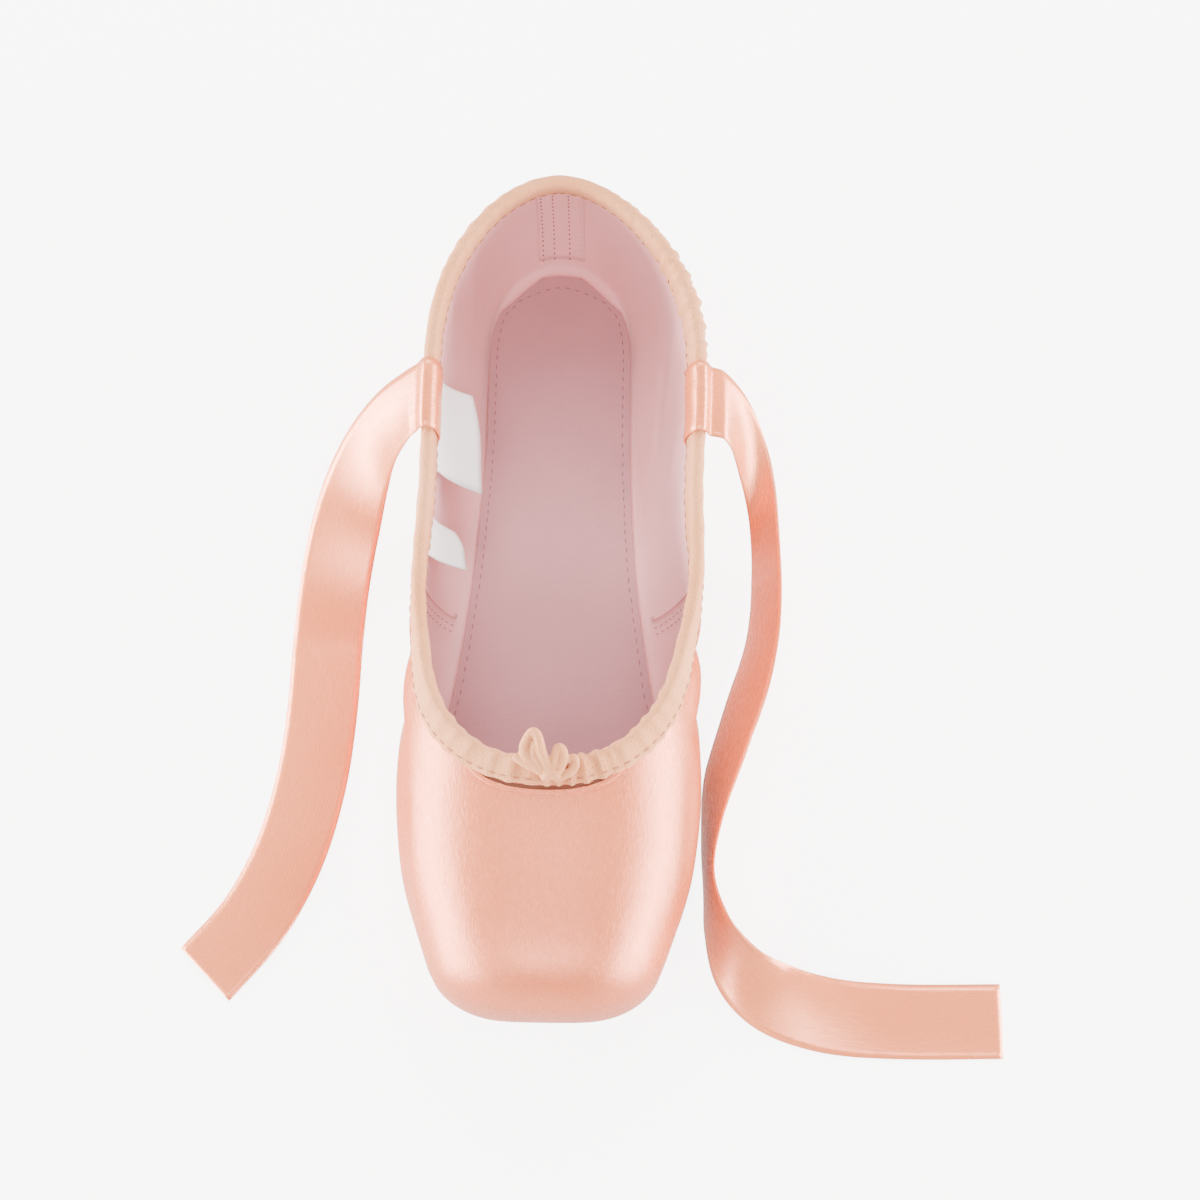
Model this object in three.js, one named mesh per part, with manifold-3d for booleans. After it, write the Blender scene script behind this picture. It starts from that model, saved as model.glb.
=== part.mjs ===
import * as THREE from "three";
import { mergeVertices } from "three/addons/utils/BufferGeometryUtils.js";
import Module from "manifold-3d";

const wasm = await Module();
wasm.setup();

// A pointe shoe that stands unbent on its sole. Millimetres, +Z up, toe towards -Y.
// Places along the shoe are measured from the back of the heel, as shares of the length.

// Overall sizes
const LENGTH = 235;
const BALL_WIDTH = 83;
const BACK_HEIGHT = 52;
const WAIST_HEIGHT = 43;
const VAMP_LENGTH = 61;
const ARCH_RISE = 7;
const TOE_RISE = 2.5;
const COLLAR_SLOUCH = 7;

// Walls, soles and what lies between them
const QUARTER_WALL = 1.5;
const BOX_WALL = 3;
const OUTSOLE_THICKNESS = 2;
const INSOLE_THICKNESS = 2.2;
const SEAT_GAP = 0.3;
const INSOLE_SIDE_GAP = 1.1;
const LASTED_MARGIN = 12;
const PLEAT_HEIGHT = 0.9;

// Casing and drawstring
const BINDING_DEPTH = 6;
const BINDING_THICKNESS = 0.8;
const BINDING_GAP = 0.4;
const STRING_THICKNESS = 2.2;
const KNOT_WIDTH = 15;

// Ribbons
const RIBBON_WIDTH = 20;
const RIBBON_THICKNESS = 0.6;
const RIBBON_SEWN_LENGTH = 26;
const RIBBON_CLEARANCE = 1.3;
const RIBBON_FLOOR_GAP = 0.15;
const RIBBON_STEPS = 3;

// Rounding of the ends of the last
const HEEL_ROUND = 36;
const HEEL_ROUNDNESS = 2.2;
const COLLAR_HEEL_ROUND = 55;
const COLLAR_HEEL_ROUNDNESS = 1.8;
const PLATFORM_ROUND = 14;
const PLATFORM_ROUNDNESS = 2.8;
const HEEL_TUCK_LOW = 5;
const HEEL_TUCK_HIGH = 3;
const HEEL_FULLEST = 0.42;
const LEAST_FOOT_INSET = 7.5;

// How the topline falls from the heel to the waist and rises to the throat
const HEEL_FALL = 1.4;
const THROAT_RISE = 2.2;

// How finely the surface is divided
const SIDE_STATIONS = 52;
const TOE_STATION_WEIGHT = 3.2;
const STATIONS_PER_PLEAT = 3;
const RAY_STEPS = 90;
const MERIDIAN_STEPS = 40;
const RAYS_FROM = { reach: 0.56, height: 0.32 };
const BOX_END_STATIONS = 5;

// Where things begin and end along the length
const PLACE = {
  archStart: 0.27,
  archEnd: 0.6,
  toeSpringStart: 0.84,
  heelPivot: 0.15,
  toePivot: 0.6,
  waist: 0.52,
  ribbon: 0.295,
  pleatStart: 0.83,
  boxStart: 0.66,
  boxFull: 0.86,
};

// Sections of the last. foot, wide and slouch are shares of half the ball width,
// heights are shares of the back height above the underside.
const SECTIONS = [
  { at: 0.0, foot: 0.55, wide: 0.87, wideAt: 1.1, crown: 2.0, slouch: 0.25, hug: 1.35, dome: 2.2 },
  { at: 0.14, foot: 0.55, wide: 0.87, wideAt: 1.1, crown: 2.0, slouch: 0.8, hug: 1.35, dome: 2.2 },
  { at: 0.3, foot: 0.55, wide: 0.87, wideAt: 1.0, crown: 1.85, slouch: 0.9, hug: 1.4, dome: 2.2 },
  { at: 0.45, foot: 0.57, wide: 0.87, wideAt: 0.7, crown: 1.55, slouch: 0.6, hug: 1.6, dome: 2.2 },
  { at: 0.58, foot: 0.66, wide: 0.915, wideAt: 0.42, crown: 1.22, slouch: 0.25, hug: 1.9, dome: 2.2 },
  { at: 0.68, foot: 0.76, wide: 0.985, wideAt: 0.3, crown: 1.03, slouch: 0.0, hug: 2, dome: 2.2 },
  { at: 0.74, foot: 0.8, wide: 1.0, wideAt: 0.28, crown: 0.955, slouch: 0.0, hug: 2, dome: 2.2 },
  { at: 0.84, foot: 0.74, wide: 0.935, wideAt: 0.28, crown: 0.86, slouch: 0.0, hug: 2, dome: 2.3 },
  { at: 0.93, foot: 0.6, wide: 0.775, wideAt: 0.28, crown: 0.775, slouch: 0.0, hug: 2, dome: 2.4 },
  { at: 1.0, foot: 0.48, wide: 0.63, wideAt: 0.28, crown: 0.7, slouch: 0.0, hug: 2, dome: 2.4 },
];

// Outline of the outsole: half width as a share of half the ball width.
const OUTSOLE_OUTLINE = [
  { at: 0.045, half: 0.4 },
  { at: 0.15, half: 0.47 },
  { at: 0.3, half: 0.43 },
  { at: 0.45, half: 0.39 },
  { at: 0.58, half: 0.5 },
  { at: 0.72, half: 0.65 },
  { at: 0.84, half: 0.61 },
  { at: 0.93, half: 0.52 },
];
const OUTSOLE_HEEL_ROUND = 20;
const OUTSOLE_TOE_ROUND = 20;
const OUTSOLE_TOE_ROUNDNESS = 2.5;
const OUTSOLE_SECTIONS = 34;

// Free run of each ribbon from the topline: out from the shoe and ahead towards the toe in
// millimetres, rise as a share of the topline's height, and the direction across the ribbon.
const RIBBON_RIGHT = [
  { out: 6, ahead: 0.5, rise: 0.95, acrossX: -0.02, acrossY: 1, acrossZ: 0.08 },
  { out: 12.5, ahead: 6.5, rise: 0.72, acrossX: 0.14, acrossY: 0.88, acrossZ: 0.46 },
  { out: 17.5, ahead: 18, rise: 0.45, acrossX: 0.28, acrossY: 0.56, acrossZ: 0.79 },
  { out: 19.5, ahead: 34, rise: 0, acrossX: 0.34, acrossY: 0.15, acrossZ: 0.93 },
  { out: 18.5, ahead: 54, rise: 0, acrossX: 0.42, acrossY: 0, acrossZ: 0.9 },
  { out: 13.5, ahead: 74, rise: 0, acrossX: 0.55, acrossY: 0, acrossZ: 0.83 },
  { out: 7.5, ahead: 93, rise: 0, acrossX: 0.5, acrossY: 0, acrossZ: 0.87 },
  { out: 4, ahead: 110, rise: 0, acrossX: 0.25, acrossY: 0, acrossZ: 0.97 },
  { out: 3, ahead: 125, rise: 0, acrossX: 0.1, acrossY: 0.02, acrossZ: 1 },
  { out: 5.5, ahead: 139, rise: 0, acrossX: 0.28, acrossY: 0.12, acrossZ: 0.93 },
  { out: 11.5, ahead: 149.5, rise: 0, acrossX: 0.5, acrossY: 0.4, acrossZ: 0.75 },
  { out: 21, ahead: 156, rise: 0, acrossX: 0.4, acrossY: 0.8, acrossZ: 0.45 },
  { out: 36, ahead: 160, rise: 0, acrossX: 0.15, acrossY: 0.97, acrossZ: 0.18 },
  { out: 56, ahead: 161, rise: 0, acrossX: 0, acrossY: 1, acrossZ: 0.03 },
  { out: 82, ahead: 160.5, rise: 0, acrossX: 0, acrossY: 1, acrossZ: 0 },
];
const RIBBON_LEFT = [
  { out: 4.5, ahead: 0.5, rise: 0.94, acrossX: 0.05, acrossY: 1, acrossZ: 0.05 },
  { out: 11.5, ahead: 4, rise: 0.76, acrossX: 0.25, acrossY: 0.9, acrossZ: 0.2 },
  { out: 18.5, ahead: 11, rise: 0.5, acrossX: 0.6, acrossY: 0.7, acrossZ: 0.25 },
  { out: 24, ahead: 22, rise: 0.25, acrossX: 0.9, acrossY: 0.4, acrossZ: 0.15 },
  { out: 27.5, ahead: 37, rise: 0.08, acrossX: 1, acrossY: 0.15, acrossZ: 0.04 },
  { out: 29, ahead: 54, rise: 0, acrossX: 1, acrossY: 0, acrossZ: 0 },
  { out: 29.5, ahead: 75, rise: 0, acrossX: 1, acrossY: -0.05, acrossZ: 0 },
  { out: 31.5, ahead: 97, rise: 0, acrossX: 1, acrossY: 0.1, acrossZ: 0 },
  { out: 36.5, ahead: 118, rise: 0, acrossX: 0.95, acrossY: 0.3, acrossZ: 0 },
  { out: 45, ahead: 136, rise: 0, acrossX: 0.85, acrossY: 0.5, acrossZ: 0 },
  { out: 57, ahead: 151, rise: 0, acrossX: 0.7, acrossY: 0.7, acrossZ: 0 },
];

const HALF_BALL = BALL_WIDTH / 2;
const UPPER_BASE = OUTSOLE_THICKNESS + SEAT_GAP;

function clamp(value, low, high) {
  return Math.min(high, Math.max(low, value));
}

function smooth(low, high, value) {
  const t = clamp((value - low) / (high - low), 0, 1);
  return t * t * (3 - 2 * t);
}

// Value of one column of a table at a share of the length, along a smooth curve.
function column(table, name, share) {
  const last = table.length - 1;
  const at = clamp(share, table[0].at, table[last].at);
  let k = 0;
  while (k < last - 1 && table[k + 1].at < at) k += 1;
  const slope = (i) => {
    const before = table[Math.max(0, i - 1)];
    const after = table[Math.min(last, i + 1)];
    return (after[name] - before[name]) / (after.at - before.at);
  };
  const span = table[k + 1].at - table[k].at;
  const t = (at - table[k].at) / span;
  const h1 = t * t * (3 - 2 * t);
  const h2 = t * (1 - t) * (1 - t);
  const h3 = t * t * (t - 1);
  const value = table[k][name] * (1 - h1) + table[k + 1][name] * h1;
  return value + span * (slope(k) * h2 + slope(k + 1) * h3);
}

// Height of the underside of the outsole: flat heel, arch, flat forefoot, toe spring.
function soleRise(s) {
  const share = s / LENGTH;
  if (share > PLACE.archStart && share < PLACE.archEnd) {
    const t = (share - PLACE.archStart) / (PLACE.archEnd - PLACE.archStart);
    return ARCH_RISE * Math.sin(Math.PI * t) ** 2;
  }
  if (share > PLACE.toeSpringStart) {
    return TOE_RISE * ((share - PLACE.toeSpringStart) / (1 - PLACE.toeSpringStart)) ** 2;
  }
  return 0;
}

function endRounding(depth, roundness) {
  const t = clamp(depth, 0, 0.9999);
  return (1 - t ** roundness) ** (1 / roundness);
}

// One section of the last at s, in real sizes, with the ends rounded.
function lastSection(s) {
  const share = s / LENGTH;
  const heel = endRounding((HEEL_ROUND - s) / HEEL_ROUND, HEEL_ROUNDNESS);
  const collar = endRounding((COLLAR_HEEL_ROUND - s) / COLLAR_HEEL_ROUND, COLLAR_HEEL_ROUNDNESS);
  const toe = endRounding((s - LENGTH + PLATFORM_ROUND) / PLATFORM_ROUND, PLATFORM_ROUNDNESS);
  const floor = UPPER_BASE + soleRise(s);
  const wideAt = floor + BACK_HEIGHT * column(SECTIONS, "wideAt", share);
  const crown = floor + BACK_HEIGHT * column(SECTIONS, "crown", share);
  return {
    base: wideAt - (wideAt - floor) * toe,
    wideAt,
    crown: wideAt + (crown - wideAt) * toe,
    foot: HALF_BALL * heel * toe * column(SECTIONS, "foot", share),
    wide: HALF_BALL * collar * toe * column(SECTIONS, "wide", share),
    slouch: COLLAR_SLOUCH * collar * column(SECTIONS, "slouch", share),
    hug: column(SECTIONS, "hug", share),
    dome: column(SECTIONS, "dome", share),
  };
}

// The back of the heel curves in below and above its fullest height.
function heelTuck(s, z) {
  const fullest = HEEL_FULLEST * BACK_HEIGHT;
  const low = HEEL_TUCK_LOW * clamp((fullest - z) / fullest, 0, 1) ** 2;
  const high = HEEL_TUCK_HIGH * clamp((z - fullest) / (BACK_HEIGHT - fullest), 0, 2) ** 2;
  return (low + high) * clamp(1 - s / HEEL_ROUND, 0, 1);
}

function halfWidth(section, z, toRight) {
  if (z <= section.base || z >= section.crown) return 0;
  if (z > section.wideAt) {
    const t = (z - section.wideAt) / (section.crown - section.wideAt);
    const inner = section.wide * (1 - t ** section.dome) ** (1 / section.dome);
    return inner + (toRight ? section.slouch : 0);
  }
  const t = (z - section.base) / (section.wideAt - section.base);
  const out = (1 - (1 - t) ** section.hug) ** (1 / section.hug);
  const lean = toRight ? section.slouch * t ** 1.5 : 0;
  return section.foot + (section.wide - section.foot) * out + lean;
}

function insideLast(x, s, z) {
  const shifted = s - heelTuck(s, z);
  if (shifted <= 0 || s >= LENGTH) return false;
  return Math.abs(x) < halfWidth(lastSection(shifted), z, x > 0);
}

// Height at which the topline cuts the last, as seen from the side.
const THROAT = LENGTH - VAMP_LENGTH;
const THROAT_HEIGHT = lastSection(THROAT).crown;
function toplineHeight(s) {
  const waist = PLACE.waist * LENGTH;
  if (s <= waist) {
    const fall = Math.cos((0.5 * Math.PI * s) / waist) ** HEEL_FALL;
    return WAIST_HEIGHT + (BACK_HEIGHT - WAIST_HEIGHT) * fall;
  }
  const t = (s - waist) / (THROAT - waist);
  return WAIST_HEIGHT + (THROAT_HEIGHT - WAIST_HEIGHT) * t ** THROAT_RISE;
}

// Plan outline of the last at its widest, from the heel along one side to the toe.
function sideOutline() {
  const points = [];
  const steps = 900;
  for (let k = 0; k <= steps; k += 1) {
    const s = LENGTH * 0.5 * (1 - Math.cos((Math.PI * k) / steps));
    points.push({ s, x: lastSection(s).wide });
  }
  points[0].x = 0;
  points[steps].x = 0;
  return points;
}

// Places on the outline, closer together round the toe, where the pleats are.
function stationPlaces() {
  const outline = sideOutline();
  const run = [0];
  for (let k = 1; k < outline.length; k += 1) {
    const a = outline[k - 1];
    const b = outline[k];
    const weight = b.s > PLACE.pleatStart * LENGTH ? TOE_STATION_WEIGHT : 1;
    run.push(run[k - 1] + weight * Math.hypot(b.s - a.s, b.x - a.x));
  }
  const total = run[run.length - 1];
  const places = [];
  let k = 1;
  for (let i = 0; i <= SIDE_STATIONS; i += 1) {
    const want = (total * i) / SIDE_STATIONS;
    while (k < run.length - 1 && run[k] < want) k += 1;
    const t = (want - run[k - 1]) / (run[k] - run[k - 1]);
    const a = outline[k - 1];
    const b = outline[k];
    places.push({ s: a.s + (b.s - a.s) * t, x: a.x + (b.x - a.x) * t });
  }
  return places;
}

// A vertical half plane through each place: fans at heel and toe, parallel along the waist.
function halfPlane(place, side) {
  const heel = PLACE.heelPivot * LENGTH;
  const toe = PLACE.toePivot * LENGTH;
  const from = clamp(place.s, heel, toe);
  const reach = Math.hypot(place.s - from, place.x);
  return {
    from,
    reach,
    ds: (place.s - from) / reach,
    dx: (side * place.x) / reach,
  };
}

function planePoint(plane, r, z) {
  return { x: plane.dx * r, s: plane.from + plane.ds * r, z };
}

function insidePlane(plane, r, z) {
  const p = planePoint(plane, r, z);
  return insideLast(p.x, p.s, z);
}

// The last place inside along a line of a half plane, found by halving.
function edgeAlong(plane, start, direction, far) {
  let near = 0;
  let beyond = far;
  for (let k = 0; k < 36; k += 1) {
    const half = (near + beyond) / 2;
    const hit = insidePlane(plane, start.r + direction.r * half, start.z + direction.z * half);
    if (hit) near = half;
    else beyond = half;
  }
  return { r: start.r + direction.r * near, z: start.z + direction.z * near };
}

// One meridian: from the feather line up the wall and, at the toe, back over the vamp.
function meridian(place, side) {
  const plane = halfPlane(place, side);
  const inset = lastSection(place.s).wide - lastSection(place.s).foot;
  const footInset = Math.max(inset, LEAST_FOOT_INSET);
  const floor = UPPER_BASE + soleRise(place.s);
  const centre = { r: RAYS_FROM.reach * plane.reach, z: floor + RAYS_FROM.height * BACK_HEIGHT };
  const down = { r: 0, z: -1 };
  const underside = (r) => edgeAlong(plane, { r, z: centre.z }, down, 2 * BACK_HEIGHT);
  const foot = underside(plane.reach - footInset);
  const ray = (angle) =>
    edgeAlong(plane, centre, { r: Math.cos(angle), z: Math.sin(angle) }, LENGTH);
  const above = (angle) => {
    const p = ray(angle);
    return p.z - toplineHeight(planePoint(plane, p.r, p.z).s) > 0;
  };
  const first = Math.atan2(foot.z - centre.z, foot.r - centre.r);
  let low = first;
  const scan = Math.PI / 180;
  while (!above(low + scan)) low += scan;
  let high = low + scan;
  for (let k = 0; k < 30; k += 1) {
    const half = (low + high) / 2;
    if (above(half)) high = half;
    else low = half;
  }
  const dense = [foot];
  for (let k = 1; k <= RAY_STEPS; k += 1) dense.push(ray(first + ((high - first) * k) / RAY_STEPS));
  const run = [0];
  for (let k = 1; k < dense.length; k += 1) {
    run.push(run[k - 1] + Math.hypot(dense[k].r - dense[k - 1].r, dense[k].z - dense[k - 1].z));
  }
  const length = run[run.length - 1];
  const points = [];
  let k = 1;
  for (let j = 0; j <= MERIDIAN_STEPS; j += 1) {
    const want = (length * j) / MERIDIAN_STEPS;
    while (k < run.length - 1 && run[k] < want) k += 1;
    const t = (want - run[k - 1]) / (run[k] - run[k - 1]);
    const r = dense[k - 1].r + (dense[k].r - dense[k - 1].r) * t;
    const z = dense[k - 1].z + (dense[k].z - dense[k - 1].z) * t;
    points.push(toSpace(planePoint(plane, r, z)));
  }
  const under = (inward) => {
    const p = underside(foot.r - inward);
    return toSpace(planePoint(plane, p.r, p.z));
  };
  return { plane, length, points, under, s: place.s };
}

function toSpace(p) {
  return new THREE.Vector3(p.x, LENGTH / 2 - p.s, p.z);
}

const PLACES = stationPlaces();
const STATIONS = 2 * SIDE_STATIONS;
const MERIDIANS = [];
for (let i = 0; i < STATIONS; i += 1) {
  const onRight = i <= SIDE_STATIONS;
  MERIDIANS.push(meridian(PLACES[onRight ? i : STATIONS - i], onRight ? 1 : -1));
}

function neighbour(i, step) {
  return MERIDIANS[(i + step + STATIONS) % STATIONS];
}

// Outward direction at each point of the outer surface, from its neighbours.
const OUTWARD = MERIDIANS.map((own, i) =>
  own.points.map((_, j) => {
    const up = own.points[Math.min(j + 1, MERIDIAN_STEPS)].clone();
    up.sub(own.points[Math.max(j - 1, 0)]);
    const along = neighbour(i, 1).points[j].clone().sub(neighbour(i, -1).points[j]);
    return up.cross(along).normalize();
  }),
);

// Thickness of the upper: stiff box at the toe, soft quarters behind.
function wallThickness(y) {
  const share = 0.5 - y / LENGTH;
  return QUARTER_WALL + (BOX_WALL - QUARTER_WALL) * smooth(PLACE.boxStart, PLACE.boxFull, share);
}

// A point at a run of length up a meridian, moved inwards by a depth.
function wallPoint(i, run, depth) {
  const own = MERIDIANS[i];
  const j = clamp((run / own.length) * MERIDIAN_STEPS, 0, MERIDIAN_STEPS - 1e-6);
  const k = Math.floor(j);
  const point = own.points[k].clone().lerp(own.points[k + 1], j - k);
  const normal = OUTWARD[i][k].clone().lerp(OUTWARD[i][k + 1], j - k).normalize();
  return point.addScaledVector(normal, -depth);
}

function rimDirection(i) {
  const own = MERIDIANS[i];
  return wallPoint(i, own.length, 0).sub(wallPoint(i, own.length - 2, 0)).normalize();
}

function nearToe(i) {
  return MERIDIANS[i].s > PLACE.pleatStart * LENGTH;
}

// Height of the pleat at a station: each fold rises steeply and lies over to the next.
function pleatAt(i) {
  if (!nearToe(i)) return 0;
  const phase = (i % STATIONS_PER_PLEAT) / STATIONS_PER_PLEAT;
  return PLEAT_HEIGHT * (1 - 1.5 * phase);
}

// Rows of the wall, as runs of length up a meridian.
function wallRows(length, nearFoot, middleRows) {
  const rows = [...nearFoot];
  const first = nearFoot[nearFoot.length - 1];
  const last = length - BINDING_DEPTH;
  for (let k = 1; k <= middleRows; k += 1) rows.push(first + ((last - first) * k) / (middleRows + 1));
  rows.push(last, length - BINDING_DEPTH / 2, length);
  return rows;
}

const OUTER_FOOT_ROWS = [0, 3, 6.5, 10.5];
const OUTER_MIDDLE_ROWS = 6;
const INNER_FOOT_ROWS = [0, 3.5, 7.5, 12];
const INNER_MIDDLE_ROWS = 3;
const MARGIN_ROWS = [LASTED_MARGIN, 0.62 * LASTED_MARGIN, 0.33 * LASTED_MARGIN];
const PLEATED_ROWS = [0, 0, 1, 1, 0.7];

function upperSection(i) {
  const own = MERIDIANS[i];
  const pleat = pleatAt(i);
  const down = new THREE.Vector3(0, 0, -1);
  const outer = MARGIN_ROWS.map((inward) => own.under(inward));
  for (const run of wallRows(own.length, OUTER_FOOT_ROWS, OUTER_MIDDLE_ROWS)) {
    outer.push(wallPoint(i, run, 0));
  }
  PLEATED_ROWS.forEach((share, row) => {
    const direction = row < MARGIN_ROWS.length ? down : OUTWARD[i][0];
    outer[row].addScaledVector(direction, pleat * share);
  });
  const inner = [];
  for (const run of wallRows(own.length, INNER_FOOT_ROWS, INNER_MIDDLE_ROWS).reverse()) {
    inner.push(wallPoint(i, run, wallThickness(wallPoint(i, run, 0).y)));
  }
  const inside = [MARGIN_ROWS[2], MARGIN_ROWS[0]].map((inward) => {
    const point = own.under(inward);
    return point.addScaledVector(down, -wallThickness(point.y));
  });
  return [...outer, ...inner, ...inside];
}

// Casing: a folded strip that straddles the topline.
function bindingSection(i) {
  const own = MERIDIANS[i];
  const up = rimDirection(i);
  const clear = BINDING_GAP;
  const full = BINDING_GAP + BINDING_THICKNESS;
  const runs = [own.length - BINDING_DEPTH + SEAT_GAP, own.length - BINDING_DEPTH / 2, own.length];
  const ends = [runs[0], runs[2]];
  const wall = (run) => wallThickness(wallPoint(i, run, 0).y);
  const outside = (run, depth) => wallPoint(i, run, -depth);
  const inside = (run, depth) => wallPoint(i, run, wall(run) + depth);
  const crest = (share, rise) => {
    const a = outside(own.length, full);
    const b = inside(own.length, full);
    return a.lerp(b, share).addScaledVector(up, rise);
  };
  const cover = [...runs.map((run) => outside(run, full))];
  cover.push(crest(0.2, 0.8 * full), crest(0.5, full), crest(0.8, 0.8 * full));
  cover.push(...runs.toReversed().map((run) => inside(run, full)));
  const lining = [...ends.map((run) => inside(run, clear))];
  lining.push(inside(own.length, clear).addScaledVector(up, clear));
  lining.push(outside(own.length, clear).addScaledVector(up, clear));
  lining.push(...runs.toReversed().map((run) => outside(run, clear)));
  return [...cover, ...lining];
}

// Closed surface through sections that run round in a ring.
function ringGeometry(sections) {
  const rows = sections[0].length;
  const positions = sections.flat().flatMap((p) => [p.x, p.y, p.z]);
  const faces = [];
  for (let i = 0; i < sections.length; i += 1) {
    const next = (i + 1) % sections.length;
    for (let j = 0; j < rows; j += 1) {
      const up = (j + 1) % rows;
      const a = i * rows + j;
      const b = i * rows + up;
      const c = next * rows + up;
      const d = next * rows + j;
      faces.push(a, b, c, a, c, d);
    }
  }
  return facedGeometry(positions, faces);
}

// Closed surface through sections in a line, with a flat fan at each end.
function loftGeometry(sections) {
  const rows = sections[0].length;
  const positions = sections.flat().flatMap((p) => [p.x, p.y, p.z]);
  const faces = [];
  for (let i = 0; i < sections.length - 1; i += 1) {
    for (let j = 0; j < rows; j += 1) {
      const up = (j + 1) % rows;
      const a = i * rows + j;
      const b = i * rows + up;
      const c = (i + 1) * rows + up;
      const d = (i + 1) * rows + j;
      faces.push(a, b, c, a, c, d);
    }
  }
  const end = (sections.length - 1) * rows;
  for (let j = 1; j < rows - 1; j += 1) {
    faces.push(0, j + 1, j);
    faces.push(end, end + j, end + j + 1);
  }
  return facedGeometry(positions, faces);
}

function facedGeometry(positions, faces) {
  const geometry = new THREE.BufferGeometry();
  geometry.setAttribute("position", new THREE.Float32BufferAttribute(positions, 3));
  geometry.setIndex(faces);
  geometry.computeVertexNormals();
  return geometry;
}

function upperGeometry() {
  return ringGeometry(MERIDIANS.map((_, i) => upperSection(i)));
}

function bindingGeometry() {
  return ringGeometry(MERIDIANS.map((_, i) => bindingSection(i)));
}

function outsoleHalf(s) {
  const first = OUTSOLE_OUTLINE[0].at * LENGTH;
  const last = OUTSOLE_OUTLINE[OUTSOLE_OUTLINE.length - 1].at * LENGTH;
  const heel = endRounding((OUTSOLE_HEEL_ROUND - (s - first)) / OUTSOLE_HEEL_ROUND, 2);
  const toe = endRounding((OUTSOLE_TOE_ROUND - (last - s)) / OUTSOLE_TOE_ROUND, OUTSOLE_TOE_ROUNDNESS);
  return HALF_BALL * column(OUTSOLE_OUTLINE, "half", s / LENGTH) * heel * toe;
}

// Places along the outsole: even, with its flat spots ending on a section each.
function outsolePlaces() {
  const first = OUTSOLE_OUTLINE[0].at * LENGTH;
  const last = OUTSOLE_OUTLINE[OUTSOLE_OUTLINE.length - 1].at * LENGTH;
  const places = [PLACE.archStart * LENGTH, PLACE.archEnd * LENGTH, PLACE.toeSpringStart * LENGTH];
  for (let k = 0; k <= OUTSOLE_SECTIONS; k += 1) {
    places.push(first + (last - first) * 0.5 * (1 - Math.cos((Math.PI * k) / OUTSOLE_SECTIONS)));
  }
  return places.sort((a, b) => a - b).filter((s, k, all) => k === 0 || s - all[k - 1] > 0.2);
}

function outsoleGeometry() {
  const sections = outsolePlaces().map((s) => {
    const half = Math.max(outsoleHalf(s), 1.2);
    const low = soleRise(s);
    const high = low + OUTSOLE_THICKNESS;
    const point = (x, z) => toSpace({ x, s, z });
    return [
      point(half, low),
      point(half, high),
      point(0, high),
      point(-half, high),
      point(-half, low),
      point(0, low),
    ];
  });
  return loftGeometry(sections);
}

// Where the wall's inner face, moved in by a gap, passes a height above the lasted edge.
function footbedEdge(i, height) {
  const own = MERIDIANS[i];
  let best = null;
  for (let run = 0; run < own.length / 2; run += 0.25) {
    const outer = wallPoint(i, run, 0);
    const depth = wallThickness(outer.y) + INSOLE_SIDE_GAP;
    const point = wallPoint(i, run, depth);
    const floor = UPPER_BASE + soleRise(LENGTH / 2 - point.y) + wallThickness(point.y);
    best = point;
    if (point.z >= floor + height) break;
  }
  return best;
}

// Insole board with the filler under it, between the turned-in edges.
function insoleSection(i) {
  const edge = (k) => footbedEdge(k, SEAT_GAP);
  const right = edge(i);
  const left = edge(STATIONS - i);
  const hole = (k, side) => {
    const point = MERIDIANS[k].under(LASTED_MARGIN + SEAT_GAP);
    return side * point.x > 0.5 ? point : point.setX(side * 0.5);
  };
  const rightHole = hole(i, 1);
  const leftHole = hole(STATIONS - i, -1);
  const s = (p) => LENGTH / 2 - p.y;
  const shelf = (p) => UPPER_BASE + soleRise(s(p)) + wallThickness(p.y) + SEAT_GAP;
  const at = (p, share) => new THREE.Vector3(p.x * share, p.y, 0);
  const set = (p, z) => new THREE.Vector3(p.x, p.y, z);
  const low = (p) => soleRise(s(p)) + OUTSOLE_THICKNESS + SEAT_GAP;
  const top = (p) => shelf(p) + INSOLE_THICKNESS;
  const mid = at(right, 0);
  return [
    set(rightHole, shelf(rightHole)),
    set(right, shelf(right)),
    set(right, top(right)),
    set(mid, top(mid)),
    set(left, top(left)),
    set(left, shelf(left)),
    set(leftHole, shelf(leftHole)),
    set(leftHole, low(leftHole)),
    set(rightHole, low(rightHole)),
  ];
}

function insoleGeometry() {
  const sections = [];
  const last = SIDE_STATIONS - BOX_END_STATIONS;
  for (let i = 1; i <= last; i += 1) sections.push(insoleSection(i));
  return loftGeometry(sections);
}

// A point on one side's wall at a place along the topline, down from it and out of the surface.
function rimPoint(side, y, fromRim, depth) {
  const pick = (k) => (side > 0 ? k : STATIONS - k);
  const rimY = (k) => MERIDIANS[pick(k)].points[MERIDIAN_STEPS].y;
  let k = 1;
  while (rimY(k + 1) > y) k += 1;
  const t = (rimY(k) - y) / (rimY(k) - rimY(k + 1));
  const at = (i) => {
    const run = MERIDIANS[i].length - fromRim;
    const wall = depth > 0 ? wallThickness(wallPoint(i, run, 0).y) : 0;
    return wallPoint(i, run, depth + wall).addScaledVector(rimDirection(i), Math.max(0, -fromRim));
  };
  return at(pick(k)).lerp(at(pick(k + 1)), t);
}

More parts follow.
